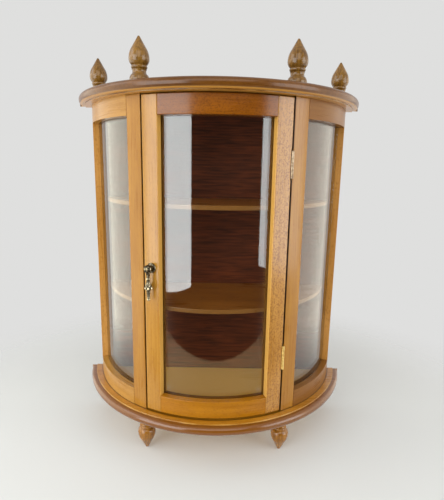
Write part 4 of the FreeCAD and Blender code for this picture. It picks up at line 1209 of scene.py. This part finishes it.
@dataclass
class Hinges(Assembly):
    """Two butt hinges with knuckles, leaves, pins and slotted screws."""

    slot: str = "brass"
    length: float = 22.4 * MM
    knuckles: int = 5
    knuckle_radius: float = 1.2 * MM
    knuckle_play: float = 0.1 * MM
    pin_proud: float = 0.3 * MM
    leaf_width: float = 8 * MM
    leaf_thickness: float = 0.7 * MM
    leaf_arris: float = 0.08 * MM
    leaf_gap: float = 0.4 * MM
    barrel_play: float = 0.3 * MM
    mortise_end: float = 1.8 * MM
    mortise_mouth: float = 4 * MM
    mortise_over: float = 2 * MM
    screw_setback: float = 4.8 * MM
    screw_pitch: float = 12 * MM
    screw_head: float = 1.2 * MM
    screw_lip: float = 0.15 * MM
    screw_shank: float = 0.65 * MM
    screw_length: float = 5 * MM
    screw_turn: float = 0.5
    screw_turn_by_level: float = 40
    slot_width: float = 0.34 * MM
    slot_depth: float = 0.3 * MM

    def place(self, level: float) -> Matrix:
        """Frame of a hinge: Y points inwards along the gap, X to the post, Z up, on the pin at a level."""
        spot = PLAN.point(PLAN.frame_radius + self.pin_proud, PLAN.door_half_angle, level)
        return Matrix.Translation(spot) @ Matrix.Rotation(PLAN.door_half_angle, 4, "Z")

    @staticmethod
    def levels() -> dict[str, float]:
        """Middle level of each hinge, from the frame."""
        return {name: sum(span(f"{name}_hinge_pin")) / 2 for name in ("upper", "lower")}

    def mortises(self, side: HingeSide) -> list[Form]:
        """Forms that the hinges need cut out of a post or stile.

        Args:
            side: Side of the gap.

        Returns:
            One form for each leaf and one for each barrel.
        """
        made = []
        half = self.length / 2 + self.mortise_end
        left, right = side.across(-self.mortise_over, self.leaf_gap / 2 + self.leaf_thickness)
        for level in self.levels().values():
            bed = Form()
            bed.block((left, -self.mortise_mouth, -half), (right, self.leaf_width + self.barrel_play, half))
            bed.move(self.place(level))
            barrel = Form()
            barrel.rod(self.knuckle_radius + self.barrel_play, 2 * half, self.place(level))
            made += [bed, barrel]
        return made

    def build(self) -> None:
        """Build leaves, pins and screws."""
        for name, level in self.levels().items():
            # The upper hinge takes the copy of the brass with painted shade.
            metal = UPPER_HINGE_BRASS_PAINTED_SHADE if name == "upper" else BRASS
            self.leaf(f"{name}_hinge_frame_leaf", level, HingeSide.POST, metal)
            self.leaf(f"{name}_hinge_door_leaf", level, HingeSide.DOOR, metal)
            self.keep(f"{name}_hinge_pin", metal)
        self.screws("hinge_screws_frame", HingeSide.POST)
        self.screws("hinge_screws_door", HingeSide.DOOR)

    def leaf(self, node: str, level: float, side: HingeSide, metal: Metal) -> None:
        """Build one leaf with its knuckles; the post's leaf has the outer ones.

        Args:
            node: Node that it stands for.
            level: Middle of the hinge.
            side: Side of the gap.
            metal: Finish of the hinge.
        """
        form = Form()
        left, right = side.across(self.leaf_gap / 2, self.leaf_gap / 2 + self.leaf_thickness)
        half = self.length / 2
        pitch = self.length / self.knuckles
        edges = form.block((left, self.knuckle_radius + self.barrel_play, -half),
                           (right, self.leaf_width, half))
        form.bevel(edges, self.leaf_arris, segments=1)
        for index in range(0 if side is HingeSide.POST else 1, self.knuckles, 2):
            low = -half + index * pitch + (0 if index == 0 else self.knuckle_play)
            high = -half + (index + 1) * pitch - (0 if index == self.knuckles - 1 else self.knuckle_play)
            form.rod(self.knuckle_radius, high - low, Matrix.Translation((0, 0, (low + high) / 2)), sides=32)
            form.block((left, 0, low), (right, self.knuckle_radius + 2 * self.barrel_play, high))
        form.move(self.place(level))
        self.add(form, metal, node, body=side.body)

    def screws(self, node: str, side: HingeSide) -> None:
        """Build the slotted screws of one side.

        Args:
            node: Node that they stand for.
            side: Side of the gap.
        """
        form = Form()
        for level in self.levels().values():
            slot_angle = self.screw_turn + level * self.screw_turn_by_level
            turn = Matrix.Rotation(side.value * QUARTER, 4, "Y") @ Matrix.Rotation(slot_angle, 4, "Z")
            for end in (-1, 1):
                single = self.screw()
                spot = Matrix.Translation((0, self.screw_setback, end * self.screw_pitch / 2))
                single.move(self.place(level) @ spot @ turn)
                form.take(single)
        self.add(form, BRASS, node, body=side.body)

    def screw(self) -> Form:
        """One screw with its slot; its axis is Z and its head lies at the start.

        Returns:
            The form.
        """
        face = self.leaf_gap / 2
        back = face + self.leaf_thickness
        end = back + self.screw_length
        form = Form()
        form.lathe([(0, face), (self.screw_head, face), (self.screw_head, face + self.screw_lip),
                    (self.screw_shank, back), (self.screw_shank, end), (0, end)], facets=20)
        form.close()
        for wall in (-self.slot_width / 2, self.slot_width / 2):
            form.split(wall)
        facing_out = -0.9
        floor = [item for item in form.mesh.faces if item.normal.z < facing_out
                 and abs(item.calc_center_median().y) < self.slot_width / 2]
        sunk = bmesh.ops.extrude_face_region(form.mesh, geom=floor)
        verts = [item for item in sunk["geom"] if isinstance(item, BMVert)]
        bmesh.ops.translate(form.mesh, vec=(0, 0, self.slot_depth), verts=verts)
        return form


@dataclass
class Frame(Assembly):
    """Posts, back stiles and side rails."""

    arris: float = 0.6 * MM
    reach: float = QUARTER

    def build(self) -> None:
        """Build posts, stiles and rails."""
        for side, name in ((-1, "left"), (1, "right")):
            self.post(f"post_{name}", side)
            self.back_stile(f"back_stile_{name}", side)
            self.rail(f"{name}_bottom_rail", side, False)
            self.rail(f"{name}_top_rail", side, True)

    def post(self, node: str, side: int) -> None:
        """Build a front post with the bed of the side glass; the right one carries the hinges.

        Args:
            node: Node that it stands for.
            side: 1 on the right, -1 on the left.
        """
        gap_side = PLAN.door_half_angle + PLAN.half_gap
        form = bedded_upright(node, PLAN.frame_in, side * gap_side, side * PLAN.side_start)
        form.ease(self.arris, chosen=on_face)
        self.add(form, POST_WOOD, node, cuts=Hinges().mortises(HingeSide.POST) if side > 0 else ())

    def back_stile(self, node: str, side: int) -> None:
        """Build a back stile, cut off flat at the back.

        Args:
            node: Node that it stands for.
            side: 1 on the right, -1 on the left.
        """
        form = bedded_upright(node, PLAN.frame_in, side * self.reach, side * PLAN.side_end)
        form.trim(PLAN.back)
        form.ease(self.arris, chosen=on_face)
        self.add(form, BACK_WOOD, node)

    def rail(self, node: str, side: int, at_top: bool) -> None:
        """Build a side rail; its inner part laps into the bed of the post.

        Args:
            node: Node that it stands for.
            side: 1 on the right, -1 on the left.
            at_top: True for a top rail, which has its bed below.
        """
        form = Form()
        low, high = span(node)
        bed = low + PLAN.rabbet if at_top else high - PLAN.rabbet
        step, full = ((0, 0), (0, 1)) if at_top else ((0, 1), (0, 0))
        cells = form.grid((PLAN.frame_in, PLAN.bed, PLAN.frame_radius), (low, bed, high), side * self.reach)
        cells = form.sweep(cells, -side * (self.reach - PLAN.side_end - PLAN.rabbet_arc))
        del cells[step]
        cells = form.sweep(cells, -side * (PLAN.side_end + PLAN.rabbet_arc - PLAN.side_start))
        form.sweep({full: cells[full]}, -side * PLAN.rabbet_arc)
        form.trim(PLAN.back)
        form.ease(self.arris, chosen=on_face)
        # Right rails take the darker copy, left rails the lighter one: painted shade and painted light.
        self.add(form, RIGHT_RAIL_WOOD_PAINTED_SHADE if side > 0 else LEFT_RAIL_WOOD_PAINTED_LIGHT, node)


@dataclass
class Glazing(Assembly):
    """Bent glass with its strips, at both sides and in the door."""

    strip_ease: float = 0.3 * MM

    def build(self) -> None:
        """Build all three panes."""
        side_middle = (PLAN.side_start + PLAN.side_end) / 2
        side_half = (PLAN.side_end - PLAN.side_start) / 2
        self.pane("left", -side_middle, side_half, PLAN.frame_in, {"back": -1, "front": 1}, "cabinet")
        self.pane("right", side_middle, side_half, PLAN.frame_in, {"front": -1, "back": 1}, "cabinet")
        self.pane("door", 0, PLAN.sight, PLAN.door_in, {"latch": -1, "hinge": 1}, "door")

    def pane(self, prefix: str, middle: float, half: float, inner: float, uprights: dict[str, int],
             body: str) -> None:
        """Build one pane and its four strips.

        Args:
            prefix: Start of the nodes' names.
            middle: Azimuth of its middle.
            half: Angle from the middle to the wood.
            inner: Inner radius of the strips.
            uprights: Upright strips by name, with the side that they lie on.
            body: Body that all ride on.
        """
        reach = half + PLAN.rabbet_arc - PLAN.play_arc
        glass = sector(PLAN.glass_out - PLAN.glass_thickness, PLAN.glass_out, span(f"{prefix}_glass"),
                       middle - reach, middle + reach)
        self.add(glass, CLEAR_GLASS, f"{prefix}_glass", body=body, slot="glass")
        bow = half - PLAN.play_arc
        ends = {name: sorted((middle + side * half, middle + side * reach))
                for name, side in uprights.items()}
        ends |= {name: [middle - bow, middle + bow] for name in ("bottom", "top")}
        for name, (start, end) in ends.items():
            node = f"{prefix}_strip_{name}"
            strip = sector(inner, PLAN.strip_out, span(node), start, end)
            strip.ease(self.strip_ease, segments=2)
            self.add(strip, STRIP_WOOD_PAINTED_SHADE, node, body=body)


@dataclass
class Interior(Assembly):
    """Back panel, shelves with their brads and the door catch."""

    ease: float = 0.5 * MM
    catch_depth: float = 5 * MM
    catch_seat: float = 9 * MM
    catch_overlap: float = 3.8 * MM

    def build(self) -> None:
        """Build shelves and catch, and dress the panel and the small fittings."""
        self.keep("back_panel", PLY_WOOD)
        for node in ("lower_shelf", "upper_shelf"):
            self.shelf(node)
        self.keep("shelf_brads", STEEL)
        gap = -PLAN.door_half_angle
        block = sector(PLAN.frame_in - self.catch_depth, PLAN.frame_in, span("catch_block"),
                       gap - PLAN.half_gap - self.catch_seat / PLAN.frame_in,
                       gap + PLAN.half_gap + self.catch_overlap / PLAN.frame_in)
        block.ease(self.ease)
        self.add(block, STRIP_WOOD_PAINTED_SHADE, "catch_block")
        self.keep("catch_magnet", STEEL)
        self.keep("catch_strike", STEEL)

    def shelf(self, node: str) -> None:
        """Build a half-round shelf with an eased front edge.

        Args:
            node: Node that it stands for.
        """
        radius = PLAN.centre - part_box(node)[0].y
        form = sector(CORE, radius, span(node), -QUARTER, QUARTER)
        form.trim(PLAN.panel_front)
        clear_of_panel = PLAN.panel_front - MM
        form.ease(self.ease, chosen=lambda edge: all(vert.co.y < clear_of_panel for vert in edge.verts))
        self.add(form, SHELF_WOOD, node, slot="shelf_wood")


@dataclass
class Door(Assembly):
    """Stiles and rails of the bowed door."""

    body: str = "door"
    arris: float = 0.6 * MM

    def build(self) -> None:
        """Build both stiles and both rails."""
        self.stile("door_stile_latch", -1, LATCH_WOOD, ())
        self.stile("door_stile_hinge", 1, HINGE_WOOD, Hinges().mortises(HingeSide.DOOR))
        self.rail("door_bottom_rail", False)
        self.rail("door_top_rail", True)

    def stile(self, node: str, side: int, finish: Finish, cuts: Sequence[Form]) -> None:
        """Build a stile with the bed of the glass.

        Args:
            node: Node that it stands for.
            side: 1 on the right, -1 on the left.
            finish: Its wood.
            cuts: Mortises.
        """
        gap_side = PLAN.door_half_angle - PLAN.half_gap
        form = bedded_upright(node, PLAN.door_in, side * gap_side, side * PLAN.sight)
        form.ease(self.arris, chosen=on_face)
        self.add(form, finish, node, cuts=cuts)

    def rail(self, node: str, at_top: bool) -> None:
        """Build a rail; its inner part laps into the beds of the stiles.

        Args:
            node: Node that it stands for.
            at_top: True for the top rail, which has its bed below.
        """
        form = Form()
        low, high = span(node)
        bed = low + PLAN.rabbet if at_top else high - PLAN.rabbet
        step, full = ((0, 0), (0, 1)) if at_top else ((0, 1), (0, 0))
        radii = (PLAN.door_in, PLAN.bed, PLAN.frame_radius)
        first = form.grid(radii, (low, bed, high), -PLAN.sight, [step])
        last = form.sweep(first, 2 * PLAN.sight)
        form.sweep({full: last[full]}, PLAN.rabbet_arc)
        form.sweep({full: first[full]}, -PLAN.rabbet_arc)
        form.ease(self.arris, chosen=on_face)
        self.add(form, TOP_RAIL_WOOD if at_top else BOTTOM_RAIL_WOOD, node)


@dataclass
class Pull(Assembly):
    """Dark drop pull: rosette, knob, pin and bell-shaped drop with petals.

    The rosette's line gives shares of its radius and thickness.
    The drop's line gives radius and level in millimetres.
    """

    RUB_AND_HIGHLIGHT: ClassVar[str] = "rub_and_highlight"

    body: str = "door"
    slot: str = "dark_pull_metal"
    reach: float = 5 * MM
    rosette_radius: float = 4.5 * MM
    rosette_thickness: float = 1.2 * MM
    rosette_line: tuple[Point, ...] = (
        (0, 0), (0.96, 0), (1, 0.35), (0.95, 0.75), (0.86, 0.8), (0.78, 0.6), (0.7, 0.85), (0.6, 1), (0, 1))
    knob_radius: float = 3.6 * MM
    knob_rise: float = 5.6 * MM
    knob_dome: float = 3.7 * MM
    knob_drop: float = 0.9 * MM
    knob_waist: Point = (1.725 * MM, 1.2 * MM)
    knob_shoulder: Point = (2.88 * MM, 3.472 * MM)
    knob_hollow: float = 0.14
    knob_hollow_rise: float = 3 * MM
    knob_twist: float = 260
    cheek: float = 1.5 * MM
    arm_radius: float = 1.9 * MM
    stud_radius: float = 1.5 * MM
    stud_tail: float = 2.9 * MM
    eye_radius: float = 1.2 * MM
    eye_thickness: float = 1.2 * MM
    eye_play: float = 0.15 * MM
    eye_room: float = 0.4 * MM
    eye_shank: float = 2.6 * MM
    slot_bottom: float = 3 * MM
    petals: int = 6
    petal_shape: float = 1.4
    drop_line: tuple[Point, ...] = (
        (0, -22.85), (0.7, -22.75), (1.3, -22.2), (1.55, -21.4), (1.45, -20.6), (1.0, -20.2), (0.95, -19.6),
        (1.5, -19.2), (1.35, -18.2), (1.6, -17.5), (1.5, -16.4), (1.85, -15.5), (1.75, -14.4), (2.1, -13.2),
        (2.1, -12.1), (3.3, -11.9), (3.75, -11.4), (3.45, -10.3), (2.75, -8.6), (2.1, -6.9), (1.65, -5.4),
        (1.5, -4.6), (1.75, -3.9), (2.0, -3.4), (2.0, -2.6), (1.7, -2.2), (0, -2.2))
    bell_top: float = -5 * MM
    bell_lip: float = -12 * MM
    bell_hollow: float = 0.22
    stem_end: float = -19 * MM
    stem_hollow: float = 0.12
    bead_top: float = -20.3 * MM
    # Shares of the pale colour below mark worn high spots that are partly painted highlights.
    bead_rub_and_highlight: float = 0.85
    lip_top: float = -9 * MM
    lip_rub_and_highlight: Point = (3.0 * MM, 0.6 * MM)
    collar_low: float = -4 * MM
    collar_radius: float = 1.9 * MM
    collar_rub_and_highlight: float = 0.5
    drop_rub_and_highlight: float = 0.12
    plain_rub_and_highlight: float = 0.15
    knob_rub_and_highlight: Point = (0.82, 5)
    knob_rub_and_highlight_levels: Point = (2 * MM, 9 * MM)

    @property
    def pin(self) -> Vector:
        """Middle of the pin that the drop swings on."""
        joints = frame["record"]["behaviour"]["joints"]
        return Vector(next(joint["pos_m"] for joint in joints if joint["name"] == "drop_swing"))

    @property
    def place(self) -> Matrix:
        """Frame of the pull: -Y points out of the door, X along its face, Z up, on the pin."""
        return Matrix.Translation(self.pin) @ Matrix.Rotation(PLAN.azimuth_of(self.pin), 4, "Z")

    def build(self) -> None:
        """Build rosette, knob and drop and dress pin and nut."""
        self.rosette()
        self.knob()
        self.drop()
        self.keep("pull_pin", DARK_METAL)
        self.keep("pull_nut", STEEL)

    def ripple(self, form: Form, depth: Callable[[float], float], twist: float) -> None:
        """Press petals into a turned form.

        Args:
            form: The form, about the Z axis.
            depth: Depth of the hollows by level, as a share of the radius.
            twist: Turn of the petals per metre of height.
        """
        for vert in form.mesh.verts:
            angle = math.atan2(vert.co.y, vert.co.x) * self.petals + vert.co.z * twist
            shrink = 1 - depth(vert.co.z) * abs(math.sin(angle / 2)) ** self.petal_shape
            vert.co.x *= shrink
            vert.co.y *= shrink

    def wear_and_highlight(self, piece: bpy.types.Object, rub_and_highlight: Callable[[float, float], float]) -> None:
        """Give a piece the attribute that marks its rubbed high spots, which are partly painted highlights.

        Args:
            piece: The piece.
            rub_and_highlight: Rub and painted highlight by radius and level from the pin.
        """
        layer = piece.data.attributes.new(self.RUB_AND_HIGHLIGHT, "FLOAT", "POINT")
        centre = self.pin
        for vert, mark in zip(piece.data.vertices, layer.data):
            spot = vert.co - centre
            mark.value = rub_and_highlight(math.hypot(spot.x, spot.y), spot.z)

    def rosette(self) -> None:
        """Build the round back plate with a ring and a raised middle."""
        form = Form()
        form.lathe([(share * self.rosette_radius, rise * self.rosette_thickness)
                    for share, rise in self.rosette_line], facets=72)
        outward = Matrix.Translation((0, self.reach, self.knob_rise)) @ Matrix.Rotation(QUARTER, 4, "X")
        form.move(self.place @ outward)
        piece = self.add(form, DARK_METAL, "pull_rosette")
        self.wear_and_highlight(piece, lambda radius, level: self.plain_rub_and_highlight)

    def knob(self) -> None:
        """Build the bud-shaped knob with its arm, stud and slot."""
        form = Form()
        line: list[Point] = [(0, -self.knob_drop), (self.cheek, -self.knob_drop), self.knob_waist,
                             self.knob_shoulder, (self.knob_radius, self.knob_rise)]
        dome = round_radius(self.knob_dome, self.knob_radius)
        line += arc(line[-1], (0, self.knob_rise + self.knob_dome), dome, steps=14)
        form.lathe(line, facets=60)
        form.divide(rise=0.8 * MM, cuts=5)
        self.ripple(form, lambda level: self.knob_hollow * clamp(level / self.knob_hollow_rise),
                    self.knob_twist)
        back = self.reach - self.rosette_thickness
        tail = self.rosette_thickness + PLAN.door_thickness + self.stud_tail
        inward = Matrix.Rotation(QUARTER, 4, "X")
        for radius, length, middle in ((self.arm_radius, back, back / 2),
                                       (self.stud_radius, tail, back + tail / 2)):
            form.rod(radius, length, Matrix.Translation((0, middle, self.knob_rise)) @ inward)
        cut = Form()
        half = self.eye_thickness / 2 + self.eye_play
        cut.block((-half, -self.knob_radius, -self.slot_bottom),
                  (half, self.knob_radius, self.eye_radius + self.eye_room))
        cut.move(self.place)
        form.move(self.place)
        piece = self.add(form, DARK_METAL, "pull_knob", cuts=[cut])
        self.wear_and_highlight(piece, self.knob_wear_and_highlight)

    def knob_wear_and_highlight(self, radius: float, level: float) -> float:
        """Rub of the knob, partly a painted highlight: most where it stands out furthest.

        Args:
            radius: Distance from the upright through the pin.
            level: Height above the pin.

        Returns:
            Rub and painted highlight from 0 to 1.
        """
        start, gain = self.knob_rub_and_highlight
        low, high = self.knob_rub_and_highlight_levels
        return clamp((radius / self.knob_radius - start) * gain) if low < level < high else self.plain_rub_and_highlight

    def drop(self) -> None:
        """Build the drop: eye, collar, bell of petals, stem and bead."""
        form = Form()
        form.lathe([(radius * MM, level * MM) for radius, level in self.drop_line], facets=60)
        form.divide(rise=0.5 * MM, cuts=3)
        self.ripple(form, self.petal_depth, 0)
        form.rod(self.eye_radius, self.eye_thickness, Matrix.Rotation(QUARTER, 4, "Y"))
        half = self.eye_thickness / 2
        form.block((-half, -self.eye_radius, -self.eye_shank), (half, self.eye_radius, 0))
        form.move(self.place)
        piece = self.add(form, DARK_METAL, "pull_drop", body="pull_drop")
        self.wear_and_highlight(piece, self.drop_wear_and_highlight)

    def petal_depth(self, level: float) -> float:
        """Depth of the hollows between the petals of the drop.

        Args:
            level: Height above the pin.

        Returns:
            Share of the radius.
        """
        if self.bell_lip < level < self.bell_top:
            return self.bell_hollow * (self.bell_top - level) / (self.bell_top - self.bell_lip)
        return self.stem_hollow if self.stem_end < level <= self.bell_lip else 0.0

    def drop_wear_and_highlight(self, radius: float, level: float) -> float:
        """Rub of the drop, partly a painted highlight: its bead, the lip of its petals and its collar.

        Args:
            radius: Distance from the upright through the pin.
            level: Height above the pin.

        Returns:
            Rub and painted highlight from 0 to 1.
        """
        if level < self.bead_top:
            return self.bead_rub_and_highlight
        if self.bell_lip < level < self.lip_top:
            start, reach = self.lip_rub_and_highlight
            return clamp((radius - start) / reach)
        on_collar = radius > self.collar_radius and level > self.collar_low
        return self.collar_rub_and_highlight if on_collar else self.drop_rub_and_highlight


@dataclass(frozen=True)
class Lamp:
    """Soft rectangular lamp that stands round the cabinet and faces its axis.

    The azimuth is in degrees from the front, positive to the right.
    A brightness of 1 is that of a white wall.
    """

    name: str
    azimuth: float
    level: float
    aim: float
    width: float
    height: float
    brightness: float
    colour: tuple[float, float, float]
    distance: float = 0.95

    def hang(self) -> None:
        """Put the lamp in the scene, unseen by the camera."""
        data = bpy.data.lights.new(self.name, "AREA")
        data.shape = "RECTANGLE"
        data.size = self.width
        data.size_y = self.height
        data.energy = self.brightness * math.pi * self.width * self.height
        data.color = self.colour
        lamp = bpy.data.objects.new(self.name, data)
        angle = math.radians(self.azimuth)
        spot = Vector((self.distance * math.sin(angle), -self.distance * math.cos(angle), self.level))
        turn = (Vector((0, 0, self.aim)) - spot).to_track_quat("-Z", "Y")
        lamp.matrix_world = Matrix.Translation(spot) @ turn.to_matrix().to_4x4()
        lamp.visible_camera = False
        bpy.context.scene.collection.objects.link(lamp)


DAYLIGHT = (0.95, 0.99, 1.0)
LAMPS = (
    Lamp("left_window", azimuth=-43.5, level=0.31, aim=0.31, width=0.68, height=0.86,
         brightness=4.6, colour=DAYLIGHT),
    Lamp("far_left_window", azimuth=-97, level=0.02, aim=0.02, width=1.05, height=1.25,
         brightness=1.5, colour=(1.0, 0.95, 0.77)),
    Lamp("right_window", azimuth=58.7, level=0.36, aim=0.36, width=0.62, height=0.80,
         brightness=3.7, colour=DAYLIGHT),
    Lamp("far_right_window", azimuth=102, level=0.02, aim=0.02, width=1.0, height=1.25,
         brightness=0.98, colour=(1.0, 0.88, 0.70)),
    Lamp("high_left_window", azimuth=-78, level=0.85, aim=0.15, width=0.8, height=0.5,
         brightness=2.0, colour=(0.96, 0.99, 1.0)),
    Lamp("high_front", azimuth=0, level=0.86, aim=0.2, width=1.0, height=0.7,
         brightness=2.2, colour=(1.0, 0.97, 0.92), distance=0.9),
)


@dataclass
class Studio:
    """Camera, soft light and a pale floor."""

    eye: tuple[float, float, float] = (0.00502, -0.37344, 0.26653)
    pitch: float = 0.19791
    yaw: float = -0.00133
    roll: float = 0.01761
    focal_pixels: float = 406.25
    picture_height: float = 500.0
    sensor: float = 36.0
    nearest: float = 0.01
    floor_reach: float = 0.8
    floor_fade: Point = (0.22, 0.44)
    floor_tones: tuple[Colour, Colour] = (tint(220, 222, 222), tint(214, 216, 216))
    floor_cloud: float = 5
    floor_roughness: float = 0.55
    floor_gloss: float = 0.2
    front_tone: Colour = tint(212, 180, 136)
    front_start: Point = (0.115, 0.12)
    front_end: Point = (0.231, 0.235)
    room_front: Point = (0.15, 0.75)
    room_light: Colour = (0.55, 0.54, 0.52, 1)
    room_dim: Colour = (0.03, 0.027, 0.024, 1)
    backdrop: Colour = tint(223, 223, 222)

    def build(self) -> None:
        """Set camera, lamps, world and floor."""
        bpy.context.scene.view_settings.view_transform = "Standard"
        self.camera()
        self.floor()
        self.world()
        for lamp in LAMPS:
            lamp.hang()

    def camera(self) -> None:
        """Stand the camera where the picture was taken from."""
        data = bpy.data.cameras.new("camera")
        data.sensor_width = self.sensor
        data.lens = self.focal_pixels / self.picture_height * self.sensor
        data.clip_start = self.nearest
        camera = bpy.data.objects.new("camera", data)
        turn = (Matrix.Rotation(self.yaw, 4, "Z") @ Matrix.Rotation(QUARTER - self.pitch, 4, "X")
                @ Matrix.Rotation(self.roll, 4, "Z"))
        camera.matrix_world = Matrix.Translation(self.eye) @ turn
        bpy.context.scene.collection.objects.link(camera)
        bpy.context.scene.camera = camera

    def floor(self) -> None:
        """Lay the floor: pale, fading out at a distance, with a warm front that only the glass mirrors."""
        form = Form()
        bmesh.ops.create_grid(form.mesh, x_segments=1, y_segments=1, size=self.floor_reach)
        floor = form.object("floor")
        material = bpy.data.materials.new("pale_floor")
        material.use_nodes = True
        bench = Bench(material.node_tree)
        mirrored = 1 - bench.node("ShaderNodeLightPath", None, None, "Is Camera Ray")
        where = bench.place()
        x, y, _ = bench.parts(where)
        pale = bench.mix(bench.noise(where, self.floor_cloud), *self.floor_tones)
        colour = bench.mix(mirrored * (-y).above(*self.front_start), pale, self.front_tone)
        solid = bench.node("ShaderNodeBsdfPrincipled", None, {
            "Base Color": colour, "Roughness": self.floor_roughness, "Specular IOR Level": self.floor_gloss})
        clear = bench.node("ShaderNodeBsdfTransparent")
        faded = ((x * x + y * y) ** 0.5).above(*self.floor_fade)
        ended = mirrored * (-y).above(*self.front_end)
        open_share = faded.math("MAXIMUM", faded, ended)
        bench.close(bench.node("ShaderNodeMixShader", None, {0: open_share, 1: solid, 2: clear}))
        floor.data.materials.append(material)

    def world(self) -> None:
        """Pale surroundings, also in metal and glass, but dim in front where the picture was taken from."""
        world = bpy.data.worlds.new("surroundings")
        bpy.context.scene.world = world
        world.use_nodes = True
        bench = Bench(world.node_tree)
        camera, glossy, through = (bench.node("ShaderNodeLightPath", None, None, f"Is {ray} Ray")
                                   for ray in ("Camera", "Glossy", "Transmission"))
        _, y, _ = bench.parts(bench.node("ShaderNodeTexCoord", None, None, "Generated"))
        front = (-y).above(*self.room_front)
        light = bench.mix(front, self.room_light, self.room_dim)
        shown = camera + (glossy + through) * (1 - front)
        colour = bench.mix(shown, light, self.backdrop)
        bench.close(bench.node("ShaderNodeBackground", None, {"Color": colour, "Strength": 1.0}),
                    "ShaderNodeOutputWorld")


def main() -> None:
    """Build the cabinet and its studio."""
    logging.basicConfig(level=logging.INFO, format="%(message)s")
    for assembly in (Boards(), Turnings(), Frame(), Glazing(), Interior(), Door(), Hinges(), Pull()):
        assembly.build()
        for piece in assembly.pieces:
            log.info("%s: %s, %d faces", type(assembly).__name__, piece.name, len(piece.data.polygons))
    Studio().build()


if __name__ == "__main__":
    main()
